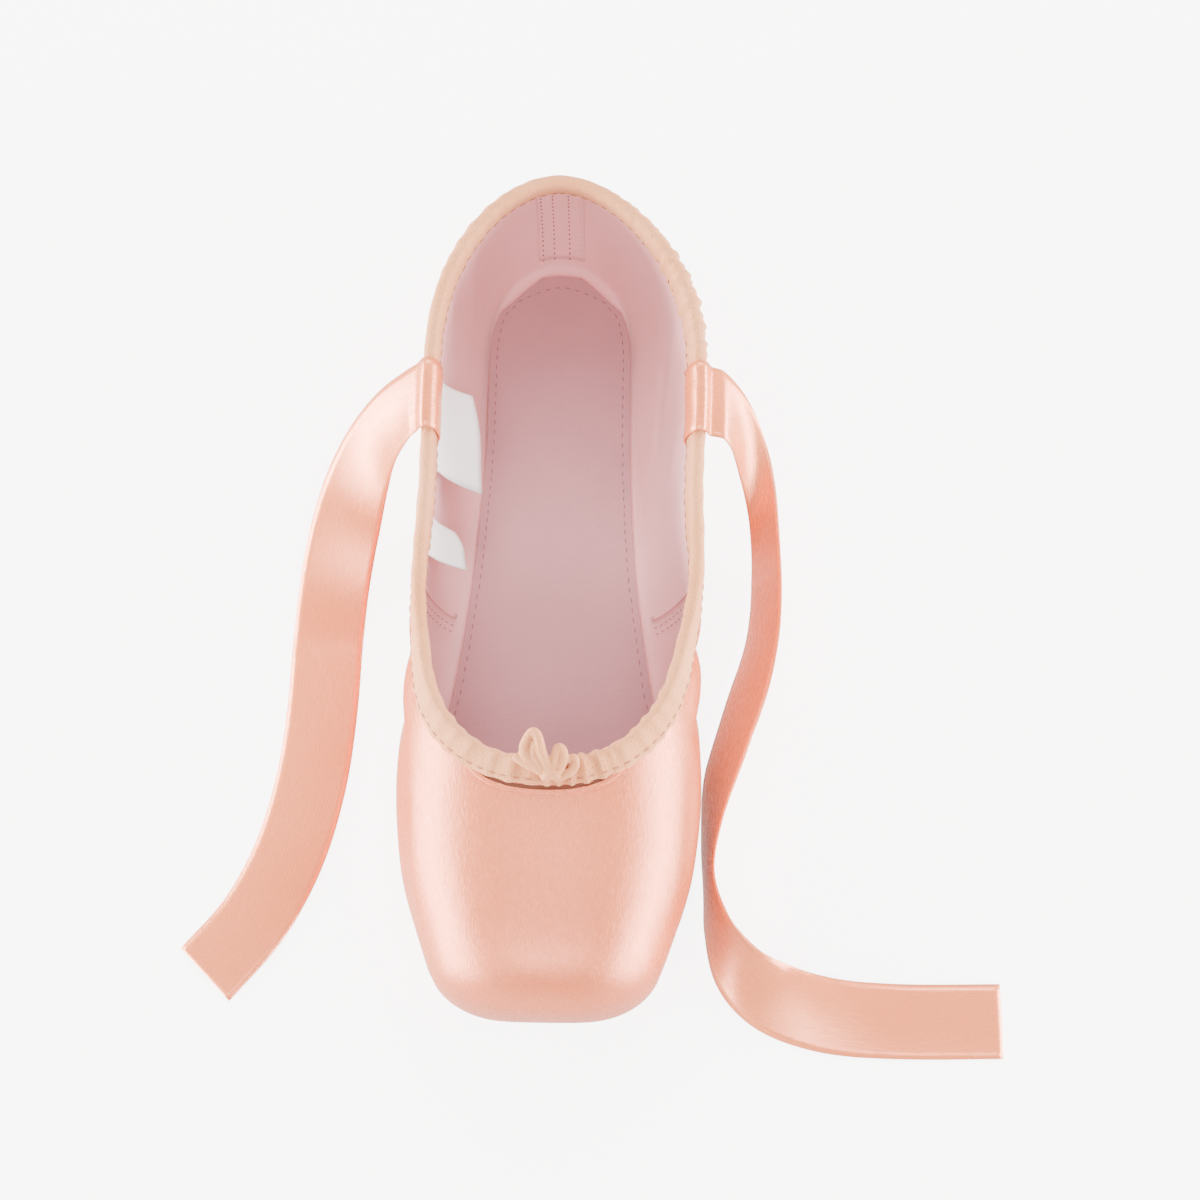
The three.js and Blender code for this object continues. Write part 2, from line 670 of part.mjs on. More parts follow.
// Ribbon: sewn flat to the lining, up and over the casing, then free along its own route.
function ribbonGeometry(side, route) {
  const y = LENGTH * (0.5 - PLACE.ribbon);
  const off = BINDING_GAP + BINDING_THICKNESS + RIBBON_CLEARANCE;
  const half = RIBBON_WIDTH / 2;
  const rows = [];
  const sew = (fromRim, depth) => {
    const toeEdge = rimPoint(side, y - half, fromRim, depth);
    const heelEdge = rimPoint(side, y + half, fromRim, depth);
    const centre = toeEdge.clone().lerp(heelEdge, 0.5);
    rows.push({ centre, across: heelEdge.sub(toeEdge).normalize() });
  };
  for (let k = 0; k <= 4; k += 1) sew(RIBBON_SEWN_LENGTH * (1 - k / 4) + 0.1 * k, off);
  const rim = rimPoint(side, y, 0, 0);
  const sewn = rows.length;
  sew(0.1, -off);
  const outer = rows.pop();
  const inner = rows[sewn - 1];
  for (const share of [0.3, 0.7]) {
    const centre = inner.centre.clone().lerp(outer.centre, share);
    centre.z += off + RIBBON_CLEARANCE;
    rows.push({ centre, across: inner.across.clone() });
  }
  rows.push(outer);
  for (const row of route) {
    const across = new THREE.Vector3(side * row.acrossX, row.acrossY, row.acrossZ).normalize();
    const lying = half * Math.abs(across.z) + RIBBON_THICKNESS / 2 + RIBBON_FLOOR_GAP;
    const z = Math.max(rim.z * row.rise, lying);
    const centre = new THREE.Vector3(rim.x + side * row.out, rim.y - row.ahead, z);
    rows.push({ centre, across });
  }
  return ribbonStrip(rows);
}

function ribbonStrip(rows) {
  const centres = new THREE.CatmullRomCurve3(rows.map((row) => row.centre));
  const acrosses = new THREE.CatmullRomCurve3(rows.map((row) => row.across));
  const steps = (rows.length - 1) * RIBBON_STEPS;
  const sections = [];
  for (let k = 0; k <= steps; k += 1) {
    const t = k / steps;
    const tangent = centres.getTangent(t);
    const across = acrosses.getPoint(t);
    across.setLength(RIBBON_WIDTH / 2);
    const face = tangent.clone().cross(across).setLength(RIBBON_THICKNESS / 2);
    const centre = centres.getPoint(t);
    const lowest = centre.z - Math.abs(across.z) - Math.abs(face.z);
    centre.z += Math.max(0, RIBBON_FLOOR_GAP - lowest);
    const corner = (a, f) => centre.clone().addScaledVector(across, a).addScaledVector(face, f);
    sections.push([corner(1, -1), corner(1, 1), corner(-1, 1), corner(-1, -1)]);
  }
  return loftGeometry(sections);
}

// A closed geometry as a solid, and back.
function solidOf(geometry) {
  const bare = new THREE.BufferGeometry();
  bare.setAttribute("position", geometry.getAttribute("position"));
  bare.setIndex(geometry.getIndex());
  const merged = mergeVertices(bare, 1e-4);
  const vertProperties = new Float32Array(merged.getAttribute("position").array);
  const triVerts = new Uint32Array(merged.getIndex().array);
  return new wasm.Manifold(new wasm.Mesh({ numProp: 3, vertProperties, triVerts }));
}

function geometryOf(solid) {
  const made = solid.getMesh();
  return facedGeometry(Array.from(made.vertProperties), Array.from(made.triVerts));
}

// Drawstring knot at the front of the opening: a nub, two small loops and two ends.
function knotGeometry() {
  const thick = STRING_THICKNESS / 2;
  const unit = KNOT_WIDTH / 2;
  const loop = (x, y, radius, lean) =>
    new THREE.TorusGeometry(radius, thick, 5, 11)
      .scale(0.8, 1.25, 1)
      .rotateX(0.35)
      .rotateZ(lean)
      .translate(x, y, 0.32 * unit);
  const end = (x, y, lean) =>
    new THREE.CapsuleGeometry(thick, 0.75 * unit, 2, 6)
      .rotateZ(lean)
      .translate(x, y, thick);
  const nub = new THREE.SphereGeometry(1, 10, 6)
    .scale(0.42 * unit, 0.5 * unit, 0.36 * unit)
    .translate(0, -0.12 * unit, 0.36 * unit);
  const pieces = [
    nub,
    loop(-0.36 * unit, 0.62 * unit, 0.34 * unit, 0.35),
    loop(0.4 * unit, 0.48 * unit, 0.3 * unit, -0.5),
    end(-0.55 * unit, -0.3 * unit, 1.9),
    end(0.55 * unit, -0.25 * unit, -1.75),
  ];
  const solid = pieces.map(solidOf).reduce((a, b) => a.add(b));
  const run = MERIDIANS[SIDE_STATIONS].length;
  const clear = BINDING_GAP + BINDING_THICKNESS + SEAT_GAP;
  const seat = wallPoint(SIDE_STATIONS, run - 0.45 * BINDING_DEPTH, -clear);
  const up = rimDirection(SIDE_STATIONS);
  const across = new THREE.Vector3(1, 0, 0);
  const out = across.clone().cross(up).normalize();
  const frame = new THREE.Matrix4().makeBasis(across, up, out).setPosition(seat);
  return geometryOf(solid).applyMatrix4(frame);
}

function mesh(name, geometry, color, roughness) {
  const material = new THREE.MeshStandardMaterial({ color, roughness, metalness: 0 });
  const made = new THREE.Mesh(geometry, material);
  made.name = name;
  return made;
}

const shoe = new THREE.Group();
shoe.add(mesh("upper", upperGeometry(), 0xe9b5a0, 0.35));
shoe.add(mesh("binding", bindingGeometry(), 0xe6c2b0, 0.75));
shoe.add(mesh("outsole", outsoleGeometry(), 0xc9a58c, 0.7));
shoe.add(mesh("insole", insoleGeometry(), 0xcfaaac, 0.8));
shoe.add(mesh("drawstring_knot", knotGeometry(), 0xe6c2b0, 0.7));
shoe.add(mesh("ribbon_left", ribbonGeometry(-1, RIBBON_LEFT), 0xf2b9a2, 0.3));
shoe.add(mesh("ribbon_right", ribbonGeometry(1, RIBBON_RIGHT), 0xf2b9a2, 0.3));

export default shoe;
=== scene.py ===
import math

import bmesh
import bpy
import numpy as np
from mathutils import Matrix, Vector, kdtree
from mathutils.bvhtree import BVHTree


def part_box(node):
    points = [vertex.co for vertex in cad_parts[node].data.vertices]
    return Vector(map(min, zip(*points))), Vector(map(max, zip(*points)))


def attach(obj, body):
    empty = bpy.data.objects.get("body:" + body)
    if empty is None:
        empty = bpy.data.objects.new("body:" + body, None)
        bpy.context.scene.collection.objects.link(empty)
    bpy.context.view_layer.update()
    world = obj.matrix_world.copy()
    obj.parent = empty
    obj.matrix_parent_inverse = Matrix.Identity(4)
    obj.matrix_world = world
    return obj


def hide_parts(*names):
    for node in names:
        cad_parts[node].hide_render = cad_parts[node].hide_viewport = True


# A pointe shoe: satin over a stiff toe box, gathered cotton casing, leather sole, satin ribbons.
# Metres, +Z up, toe towards -Y.
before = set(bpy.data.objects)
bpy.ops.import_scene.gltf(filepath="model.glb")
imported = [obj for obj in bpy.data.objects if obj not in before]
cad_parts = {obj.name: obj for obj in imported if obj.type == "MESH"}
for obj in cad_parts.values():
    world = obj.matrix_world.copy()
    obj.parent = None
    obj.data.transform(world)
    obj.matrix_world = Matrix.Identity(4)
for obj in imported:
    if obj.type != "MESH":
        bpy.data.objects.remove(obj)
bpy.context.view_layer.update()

MM = 0.001

# Camera, as in the photo: from the toe end, well above the shoe
CAMERA_AT = Vector((16, -205.7, 583.8)) * MM
CAMERA_AIM = Vector((13, -0.5, 20)) * MM
CAMERA_LENS = 64.7
SENSOR = 36

# Sizes read from the frame
shoe_low, shoe_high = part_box("upper")
SHOE_LENGTH = shoe_high.y - shoe_low.y
HALF_WIDTH = (shoe_high.x - shoe_low.x) / 2
SHOE_HEIGHT = shoe_high.z

# Ribbons
RIBBON_WIDTH = 20 * MM
RIBBON_THICKNESS = 0.35 * MM
SOLID_THICKNESS = 0.6 * MM
SAME_LENGTH = 0.001 * MM
RIBBON_CUP = 0.5 * MM
RIBBON_ACROSS = 11
RIBBON_FINENESS = 4
SEWN_SECTIONS = 12 * RIBBON_FINENESS
SEWN_GAP = 0.6 * MM
RIBBON_ROWS = (0.07, 0.93)

# Stitches: length and gap along the seam, thickness of the thread, height off the cloth
CASING_STITCH = {"length": 2.1 * MM, "gap": 1.1 * MM, "thickness": 0.42 * MM, "lift": 0.05 * MM}
RIBBON_STITCH = {"length": 1.5 * MM, "gap": 1.2 * MM, "thickness": 0.3 * MM, "lift": 0}
STAY_STITCH = {"length": 0.7 * MM, "gap": 1.7 * MM, "thickness": 0.5 * MM, "lift": 0.12 * MM}
LINING_STITCH = {"length": 1.4 * MM, "gap": 1.2 * MM, "thickness": 0.32 * MM, "lift": 0}
SATIN_STITCH = {"length": 1.5 * MM, "gap": 1.1 * MM, "thickness": 0.3 * MM, "lift": 0}
SOCK_STITCH = {"length": 1.6 * MM, "gap": 1.3 * MM, "thickness": 0.34 * MM, "lift": 0}

# Tapes and raised seams: width, height of their middle off the cloth, thickness
STAY_TAPE = {"width": 15 * MM, "lift": 0.2 * MM, "thickness": 0.3 * MM}
LINING_SEAM = {"width": 1.1 * MM, "lift": 0.3 * MM, "thickness": 0.45 * MM}
SATIN_SEAM = {"width": 1.3 * MM, "lift": 0.18 * MM, "thickness": 0.4 * MM}
# The throat strip is a dark band of painted shadow, standing for the shade in the gap under the casing's
# edge
THROAT_SHADOW = {"width": 1.1 * MM, "lift": 0.1 * MM, "thickness": 0.3 * MM}
THROAT_LIP = {"width": 1.2 * MM, "lift": 0.28 * MM, "thickness": 0.6 * MM}
TAPE_STEPS = 6

# Distances between the points of a path, finer where small stitches follow it
CREASE_PITCH = 2 * MM
THROAT_PITCH = 1.5 * MM
CASING_PITCH = 0.55 * MM
SEAM_PITCH = 0.5 * MM
STAY_PITCH = 0.4 * MM

# Middle line of the foot's room, which tells the outside of the wall from the inside
TOE_MIDDLE = 45 * MM
HEEL_MIDDLE = 35 * MM
ROOM_HEIGHT = 22 * MM

# Creases fade out towards their ends: the higher this power, the longer the fade
END_FADE = 0.7

# Casing: how far down it reaches, numbers of its rows at the two lower edges, how far above them the
# stitches are as a share of the way to the next row, and the form of its gathers
CASING_DEPTH = 5.5 * MM
OUTER_LOW = 1
INNER_LOW = 9
ABOVE_EDGE = 0.45
GATHER_WANDER = 1.1
WANDER_PITCHES = 5.3
GATHER_SHARPNESS = 1.5

# Merged corners, soft edges and rounding
MERGE = 0.005 * MM
EDGE_ROUND = 0.5 * MM
SHARP_ANGLE = math.radians(50)
ROUND_LEVELS = 2
CURVE_STEPS = 8
PLACES = 6

# Heel stay
STAY_ROWS = (-0.38, -0.15, 0.15, 0.38)
STAY_LOW = 8 * MM
STAY_POINTS = 20
STAY_SEEN_FROM = 0.2

# Seams of the lining and the satin
WAIST_SEAM = 0.52
WAIST_TOP = 36 * MM
LINING_SEAM_LOW = 10 * MM
LINING_SEAM_POINTS = 14
LINING_SEAM_SLANT = 0.08
LINING_ROWS = (2.6 * MM, 4.4 * MM)
LINING_ROW_LIFT = 0.12 * MM
SATIN_SEAM_LOW = 7 * MM
SATIN_SEAM_POINTS = 18
SATIN_SEAM_SLANT = 0.05
SATIN_ROW_ASIDE = 1.5 * MM
SATIN_ROW_LIFT = 0.1 * MM

# Rays towards the shoe start so many half widths from its middle, or this far behind or above it
HALF_WIDTHS_OFF = 3
FAR_OFF = 0.1

# Labels
LABEL_HEIGHT = 43 * MM
LABEL_THICKNESS = 0.25 * MM
LABEL_STEPS = 12
LABEL_CURL = 1.5 * MM
LABEL_WAVE = 1.5 * math.pi
LABEL_RIPPLE = 0.5
LABEL_HANG = 0.6

# Sock: its stitches start this far from the toe, and its heel end is rounded
SOCK_TOE = 60 * MM
SOCK_HEEL = 8 * MM
SOCK_HEEL_ROUND = 12 * MM
SOCK_HEEL_DROP = 2.6 * MM
SOCK_POINTS = 60
SOCK_STITCH_INSET = 2.2 * MM
SOCK_ROW_LIFT = 0.05 * MM
REACH_STEP = 0.25 * MM

# Throat: how far the painted shadow strip and the lip show below the casing, and how far their ends are
# tucked under it
THROAT_STATIONS = 24
SHADOW_BELOW_EDGE = 0.8 * MM
LIP_BELOW_EDGE = 1.8 * MM
TUCKED = 1.5 * MM
TUCK_SHARPNESS = 4

# Knot
KNOT_FOOT = 1.5 * MM
KNOT_ASIDE = 2 * MM
KNOT_GRAIN = 0.24 * MM
KNOT_STEPS = 6
KNOT_EASE = 0.6

# Studio: sizes in metres, power in watts
FLOOR_SIZE = 6
FLOOR_BELOW = 0.05 * MM
FLOOR_GLOW = 6
WORLD_LIGHT = 1.15
STRIP_AIM = (0, -0.02, 0.02)
STRIP_SIZE = (1.2, 0.2)
LAMPS = [
    {"name": "top_softbox", "at": (0, -0.75, 1.25), "aim": (0, 0, 0), "size": (0.9, 0.5), "power": 20},
    {"name": "heel_softbox", "at": (0, 1.05, 0.95), "aim": (0, -0.03, 0), "size": (1.2, 0.8), "power": 42},
    {"name": "left_strip", "at": (-0.85, -0.12, 0.12), "aim": STRIP_AIM, "size": STRIP_SIZE, "power": 50},
    {"name": "right_strip", "at": (0.85, -0.12, 0.12), "aim": STRIP_AIM, "size": STRIP_SIZE, "power": 44},
]


def place(across, along, up):
    """A point in the shoe's own sizes: half widths from the middle, lengths from the heel, heights."""
    return Vector((across * HALF_WIDTH, shoe_high.y - along * SHOE_LENGTH, up * SHOE_HEIGHT))


def only(piece):
    """Makes one object the selected and active one."""
    bpy.ops.object.select_all(action="DESELECT")
    piece.select_set(True)
    bpy.context.view_layer.objects.active = piece


# Camera
def add_camera():
    """The camera, placed and aimed as in the photo."""
    bpy.ops.object.camera_add(location=CAMERA_AT)
    camera = bpy.context.object
    camera.name = "camera"
    camera.data.sensor_width = SENSOR
    camera.data.lens = CAMERA_LENS
    camera.rotation_euler = (CAMERA_AIM - CAMERA_AT).to_track_quat("-Z", "Y").to_euler()
    bpy.context.scene.camera = camera


# Materials
def tone(code):
    """A colour in linear light, from the six hex digits of its screen colour."""
    parts = [int(code[k : k + 2], 16) / 255 for k in (0, 2, 4)]
    return [c / 12.92 if c <= 0.04045 else ((c + 0.055) / 1.055) ** 2.4 for c in parts] + [1.0]


def new_group(name, inputs, outputs):
    """An empty node group with named inputs and outputs."""
    group = bpy.data.node_groups.new(name, "ShaderNodeTree")
    for label, kind in inputs:
        group.interface.new_socket(label, in_out="INPUT", socket_type=kind)
    for label, kind in outputs:
        group.interface.new_socket(label, in_out="OUTPUT", socket_type=kind)
    return group, group.nodes.new("NodeGroupInput"), group.nodes.new("NodeGroupOutput")


def cloth_tone_group():
    """Slow, uneven change of tone over a cloth: a mask from 0 to 1."""
    group, given, made = new_group(
        "cloth_tone",
        [("Vector", "NodeSocketVector"), ("Patches", "NodeSocketFloat")],
        [("Mask", "NodeSocketFloat")],
    )
    noise = group.nodes.new("ShaderNodeTexNoise")
    noise.inputs["Detail"].default_value = 3
    spread = group.nodes.new("ShaderNodeMapRange")
    spread.inputs["From Min"].default_value = 0.3
    spread.inputs["From Max"].default_value = 0.7
    group.links.new(given.outputs["Vector"], noise.inputs["Vector"])
    group.links.new(given.outputs["Patches"], noise.inputs["Scale"])
    group.links.new(noise.outputs["Fac"], spread.inputs["Value"])
    group.links.new(spread.outputs["Result"], made.inputs["Mask"])
    return group


# The even noise is so many times finer than the slubs
TIMES_FINER = 2.3


def thread_grain_group():
    """Fine threads with slubs: noise drawn out along one direction, and a finer even noise."""
    group, given, made = new_group(
        "thread_grain",
        [("Vector", "NodeSocketVector"), ("Drawn", "NodeSocketVector"), ("Threads", "NodeSocketFloat")],
        [("Height", "NodeSocketFloat"), ("Slubs", "NodeSocketFloat")],
    )
    drawn = group.nodes.new("ShaderNodeVectorMath")
    drawn.operation = "MULTIPLY"
    slubs = group.nodes.new("ShaderNodeTexNoise")
    slubs.inputs["Detail"].default_value = 2
    fine = group.nodes.new("ShaderNodeTexNoise")
    fine.inputs["Detail"].default_value = 1
    finer = group.nodes.new("ShaderNodeMath")
    finer.operation = "MULTIPLY"
    finer.inputs[1].default_value = TIMES_FINER
    both = group.nodes.new("ShaderNodeMath")
    both.operation = "ADD"
    group.links.new(given.outputs["Vector"], drawn.inputs[0])
    group.links.new(given.outputs["Drawn"], drawn.inputs[1])
    group.links.new(drawn.outputs["Vector"], slubs.inputs["Vector"])
    group.links.new(given.outputs["Threads"], slubs.inputs["Scale"])
    group.links.new(given.outputs["Vector"], fine.inputs["Vector"])
    group.links.new(given.outputs["Threads"], finer.inputs[0])
    group.links.new(finer.outputs["Value"], fine.inputs["Scale"])
    group.links.new(slubs.outputs["Fac"], both.inputs[0])
    group.links.new(fine.outputs["Fac"], both.inputs[1])
    group.links.new(both.outputs["Value"], made.inputs["Height"])
    group.links.new(slubs.outputs["Fac"], made.inputs["Slubs"])
    return group


CLOTH_TONE = cloth_tone_group()
THREAD_GRAIN = thread_grain_group()

# How threads are drawn out along X, Y and Z, or across, along and off a ribbon
ALONG_SHOE = (1, 0.12, 1)
ALONG_RIBBON = (1, 0.08, 1)
EVEN = (1, 1, 1)
ROUGH_CHANGE = 0.09


def cloth(
    name, base, shade, rough, grain, relief, drawn=EVEN, patches=25, sheen=0, gloss=1.45, lustre=0, uv=False
):
    """A woven material: two tones in patches, threads drawn out along one direction, soft relief."""
    material = bpy.data.materials.new(name)
    material.use_nodes = True
    nodes = material.node_tree.nodes
    links = material.node_tree.links
    shader = nodes["Principled BSDF"]
    shader.inputs["Sheen Weight"].default_value = sheen
    shader.inputs["Sheen Roughness"].default_value = 0.4
    shader.inputs["Metallic"].default_value = lustre
    shader.inputs["IOR"].default_value = gloss
    where = nodes.new("ShaderNodeTexCoord").outputs["UV" if uv else "Object"]
    tones = nodes.new("ShaderNodeGroup")
    tones.node_tree = CLOTH_TONE
    tones.inputs["Patches"].default_value = patches
    threads = nodes.new("ShaderNodeGroup")
    threads.node_tree = THREAD_GRAIN
    threads.inputs["Drawn"].default_value = drawn
    threads.inputs["Threads"].default_value = grain
    mix = nodes.new("ShaderNodeMix")
    mix.data_type = "RGBA"
    mix.inputs["A"].default_value = tone(base)
    mix.inputs["B"].default_value = tone(shade)
    slub_tone = nodes.new("ShaderNodeMapRange")
    slub_tone.inputs["From Min"].default_value = 0.25
    slub_tone.inputs["From Max"].default_value = 0.75
    slub_tone.inputs["To Min"].default_value = 0.75
    slub_tone.inputs["To Max"].default_value = 1.0
    worn = nodes.new("ShaderNodeMath")
    worn.operation = "MULTIPLY"
    roughness = nodes.new("ShaderNodeMapRange")
    roughness.inputs["To Min"].default_value = rough - ROUGH_CHANGE
    roughness.inputs["To Max"].default_value = rough + ROUGH_CHANGE
    bump = nodes.new("ShaderNodeBump")
    bump.inputs["Distance"].default_value = relief
    links.new(where, tones.inputs["Vector"])
    links.new(where, threads.inputs["Vector"])
    links.new(threads.outputs["Slubs"], slub_tone.inputs["Value"])
    links.new(tones.outputs["Mask"], worn.inputs[0])
    links.new(slub_tone.outputs["Result"], worn.inputs[1])
    links.new(worn.outputs["Value"], mix.inputs["Factor"])
    links.new(mix.outputs["Result"], shader.inputs["Base Color"])
    links.new(threads.outputs["Slubs"], roughness.inputs["Value"])
    links.new(roughness.outputs["Result"], shader.inputs["Roughness"])
    links.new(threads.outputs["Height"], bump.inputs["Height"])
    links.new(bump.outputs["Normal"], shader.inputs["Normal"])
    return material


satin = cloth(
    "shoe_satin", "df7448", "d66a3e", rough=0.26, grain=2100, relief=0.08 * MM,
    drawn=ALONG_SHOE, gloss=1.75, lustre=0.35,
)
ribbon_satin = cloth(
    "ribbon_cloth", "ea8150", "e27544", rough=0.27, grain=2000, relief=0.04 * MM,
    drawn=ALONG_RIBBON, gloss=1.7, lustre=0.3, uv=True,
)
lining = cloth("cotton_lining", "f0b1b1", "e8a09f", rough=0.85, grain=1500, relief=0.08 * MM, sheen=0.2)
casing = cloth("casing_cotton", "dd9668", "cf8150", rough=0.85, grain=1600, relief=0.35 * MM, sheen=0.15)
sock = cloth("sock_cloth", "b27a7d", "a67175", rough=0.9, grain=1100, relief=0.08 * MM, sheen=0.3)
leather = cloth("sole_suede", "bd8a66", "ad7852", rough=0.78, grain=700, relief=0.1 * MM, patches=60)
thread = cloth("sewing_thread", "a5613d", "955433", rough=0.6, grain=3000, relief=0.03 * MM)
sock_thread = cloth("sock_thread", "8f5a5f", "824f55", rough=0.7, grain=3000, relief=0.03 * MM)
lining_thread = cloth("lining_thread", "b98083", "a97174", rough=0.7, grain=3000, relief=0.03 * MM)
# Dark brown of the throat strip: painted shadow of the gap under the casing's edge
painted_throat_shadow = cloth("painted_throat_shadow", "74402b", "683825", rough=0.8, grain=1500, relief=0.04 * MM)
label_cloth = cloth("label_cloth", "f3eeec", "ebe4e2", rough=0.8, grain=1500, relief=0.04 * MM)


def lit_floor():
    """Pale floor that the camera sees a little brighter than its light alone would make it."""
    material = cloth("floor_paint", "cfcbc8", "ccc8c5", rough=0.7, grain=60, relief=0.01 * MM, patches=2)
    nodes = material.node_tree.nodes
    shader = nodes["Principled BSDF"]
    shader.inputs["Emission Color"].default_value = tone("fffdfb")
    seen = nodes.new("ShaderNodeLightPath")
    glow = nodes.new("ShaderNodeMath")
    glow.operation = "MULTIPLY"
    glow.inputs[1].default_value = FLOOR_GLOW
    material.node_tree.links.new(seen.outputs["Is Camera Ray"], glow.inputs[0])
    material.node_tree.links.new(glow.outputs["Value"], shader.inputs["Emission Strength"])
    return material


# Copies of the frame's solids
def copy_of(node, name):
    """A copy of a solid with its loose triangles merged."""
    piece = bpy.data.objects.new(name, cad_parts[node].data.copy())
    bpy.context.scene.collection.objects.link(piece)
    piece.data.materials.clear()
    only(piece)
    bpy.ops.mesh.customdata_custom_splitnormals_clear()
    bpy.ops.object.mode_set(mode="EDIT")
    bpy.ops.mesh.select_all(action="SELECT")
    bpy.ops.mesh.remove_doubles(threshold=MERGE)
    bpy.ops.object.mode_set(mode="OBJECT")
    return piece


def joined_flats(piece):
    """Joins a flat piece's triangles to quads."""
    only(piece)
    bpy.ops.object.mode_set(mode="EDIT")
    bpy.ops.mesh.select_all(action="SELECT")
    bpy.ops.mesh.tris_convert_to_quads(face_threshold=math.pi, shape_threshold=math.pi)
    bpy.ops.object.mode_set(mode="OBJECT")


def squareness(face):
    """How near a triangle is to half a square: 0 is exact."""
    short, middle, long = sorted(edge.calc_length() for edge in face.edges)
    return abs(short**2 + middle**2 - long**2) / long**2 + (middle - short) / long


def joined_ring(piece):
    """Joins a ring's triangles to quads: going round, the slanted edge has the same place in each."""
    cage = bmesh.new()
    cage.from_mesh(piece.data)
    first = min(cage.faces, key=squareness)
    slanted = max(range(3), key=lambda k: first.loops[k].edge.calc_length())
    found = {first: slanted}
    waiting = [first]
    while waiting:
        face = waiting.pop()
        for k, corner in enumerate(face.loops):
            beside = corner.link_loop_radial_next
            if beside.face not in found:
                number = list(beside.face.loops).index(beside)
                found[beside.face] = (number - (k - found[face])) % 3
                waiting.append(beside.face)
    slants = {face.loops[k].edge for face, k in found.items()}
    in_order = sorted(slants, key=lambda edge: edge.index)
    bmesh.ops.dissolve_edges(cage, edges=in_order, use_verts=False)
    cage.to_mesh(piece.data)
    cage.free()


# Meshes and their points
def refine(piece):
    """Rounds a cage by subdivision and shades it smooth."""
    only(piece)
    rounding = piece.modifiers.new("rounding", "SUBSURF")
    rounding.levels = ROUND_LEVELS
    rounding.render_levels = ROUND_LEVELS
    bpy.ops.object.modifier_apply(modifier=rounding.name)
    bpy.ops.object.shade_smooth()


def surface_of(piece):
    """A search tree over a piece's faces."""
    corners = [v.co for v in piece.data.vertices]
    return BVHTree.FromPolygons(corners, [tuple(p.vertices) for p in piece.data.polygons])


def piece_from(shape, name):
    """A new object from an edited mesh."""
    data = bpy.data.meshes.new(name)
    shape.to_mesh(data)
    shape.free()
    piece = bpy.data.objects.new(name, data)
    bpy.context.scene.collection.objects.link(piece)
    return piece


def thicken(piece, thickness, offset):
    """Gives a sheet its thickness: to both sides of it at offset 0, to its back at -1."""
    only(piece)
    body = piece.modifiers.new("body", "SOLIDIFY")
    body.thickness = thickness
    body.offset = offset
    bpy.ops.object.modifier_apply(modifier=body.name)
    bpy.ops.object.shade_smooth()


def points_of(piece):
    """A piece's points, one row each."""
    coordinates = np.zeros(len(piece.data.vertices) * 3)
    piece.data.vertices.foreach_get("co", coordinates)
    return coordinates.reshape(-1, 3)


def normals_of(piece):
    """The directions in which a piece's points look, one row each."""
    normals = np.zeros(len(piece.data.vertices) * 3)
    piece.data.vertices.foreach_get("normal", normals)
    return normals.reshape(-1, 3)


def set_points(piece, coordinates):
    """Moves a piece's points to the given rows."""
    piece.data.vertices.foreach_set("co", coordinates.ravel())
    piece.data.update()


# Rows of a ring-shaped cage
def straight_on(edge, vert):
    """The edge that carries on through a vertex where four edges meet."""
    beside = set(edge.link_faces)
    for other in vert.link_edges:
        if other is not edge and not beside & set(other.link_faces):
            return other


def loop_from(vert, edge):
    """Vertices along a closed loop of edges."""
    found = [vert]
    at = edge.other_vert(vert)
    while at is not vert:
        found.append(at)
        edge = straight_on(edge, at)
        at = edge.other_vert(at)
    return found


def rows_round(piece):
    """Rows right round a ring-shaped cage, from the back of the heel by the right-hand side."""
    cage = bmesh.new()
    cage.from_mesh(piece.data)
    start = max(cage.verts, key=lambda v: v.co.y)
    upright = max(start.link_edges, key=lambda e: (e.other_vert(start).co - start.co).normalized().z)
    section = loop_from(start, upright)
    # The section starts at its lowest corner on the outside of the shoe
    middle = sum(v.co.y for v in section) / len(section)
    lowest = min((v for v in section if v.co.y > middle), key=lambda v: v.co.z)
    first = section.index(lowest)
    section = section[first:] + section[:first]
    rows = []
    for vert in section:
        side = max(vert.link_edges, key=lambda e: e.other_vert(vert).co.x - vert.co.x)
        rows.append([v.co.copy() for v in loop_from(vert, side)])
    cage.free()
    return rows


def curve(points, steps, closed=False):
    """Points of a smooth curve through the given ones, with so many steps between them."""
    count = len(points)
    spans = count if closed else count - 1
    dense = []
    for k in range(spans):
        numbers = [k - 1, k, k + 1, k + 2]
        if closed:
            numbers = [n % count for n in numbers]
        a, b, c, d = (np.array(points[min(max(n, 0), count - 1)]) for n in numbers)
        for t in np.arange(steps) / steps:
            bend = (2 * a - 5 * b + 4 * c - d) * t**2 + (3 * b - a - 3 * c + d) * t**3
            dense.append(0.5 * (2 * b + (c - a) * t + bend))
    dense.append(np.array(points[0 if closed else -1]))
    return np.array(dense)


def smooth_path(points, pitch, closed=False):
    """Points at an even pitch on a smooth curve through the given ones."""
    dense = curve(points, CURVE_STEPS, closed)
    run = np.concatenate([[0], np.cumsum(np.linalg.norm(np.diff(dense, axis=0), axis=1))])
    wanted = np.linspace(0, run[-1], max(2, round(run[-1] / pitch) + 1))
    even = np.stack([np.interp(wanted, run, dense[:, axis]) for axis in range(3)], axis=1)
    return [Vector(p) for p in even]


def laid_on(tree, path, lift=0.0):
    """A path moved onto a surface, and the surface's outward direction at each point."""
    laid = []
    for point in path:
        at, normal, _, _ = tree.find_nearest(point)
        laid.append((at + normal * lift, normal))
    return laid


# Stitches
def bead(length, thickness):
    """One stitch: a small rounded bead along X."""
    bpy.ops.object.select_all(action="DESELECT")
    bpy.ops.mesh.primitive_uv_sphere_add(segments=6, ring_count=5, radius=0.5)
    ball = bpy.context.object
    ball.scale = (thickness, thickness, length)
    ball.rotation_euler = (0, math.pi / 2, 0)
    bpy.ops.object.transform_apply(location=True, rotation=True, scale=True)
    shape = ball.data.copy()
    bpy.data.objects.remove(ball)
    return shape


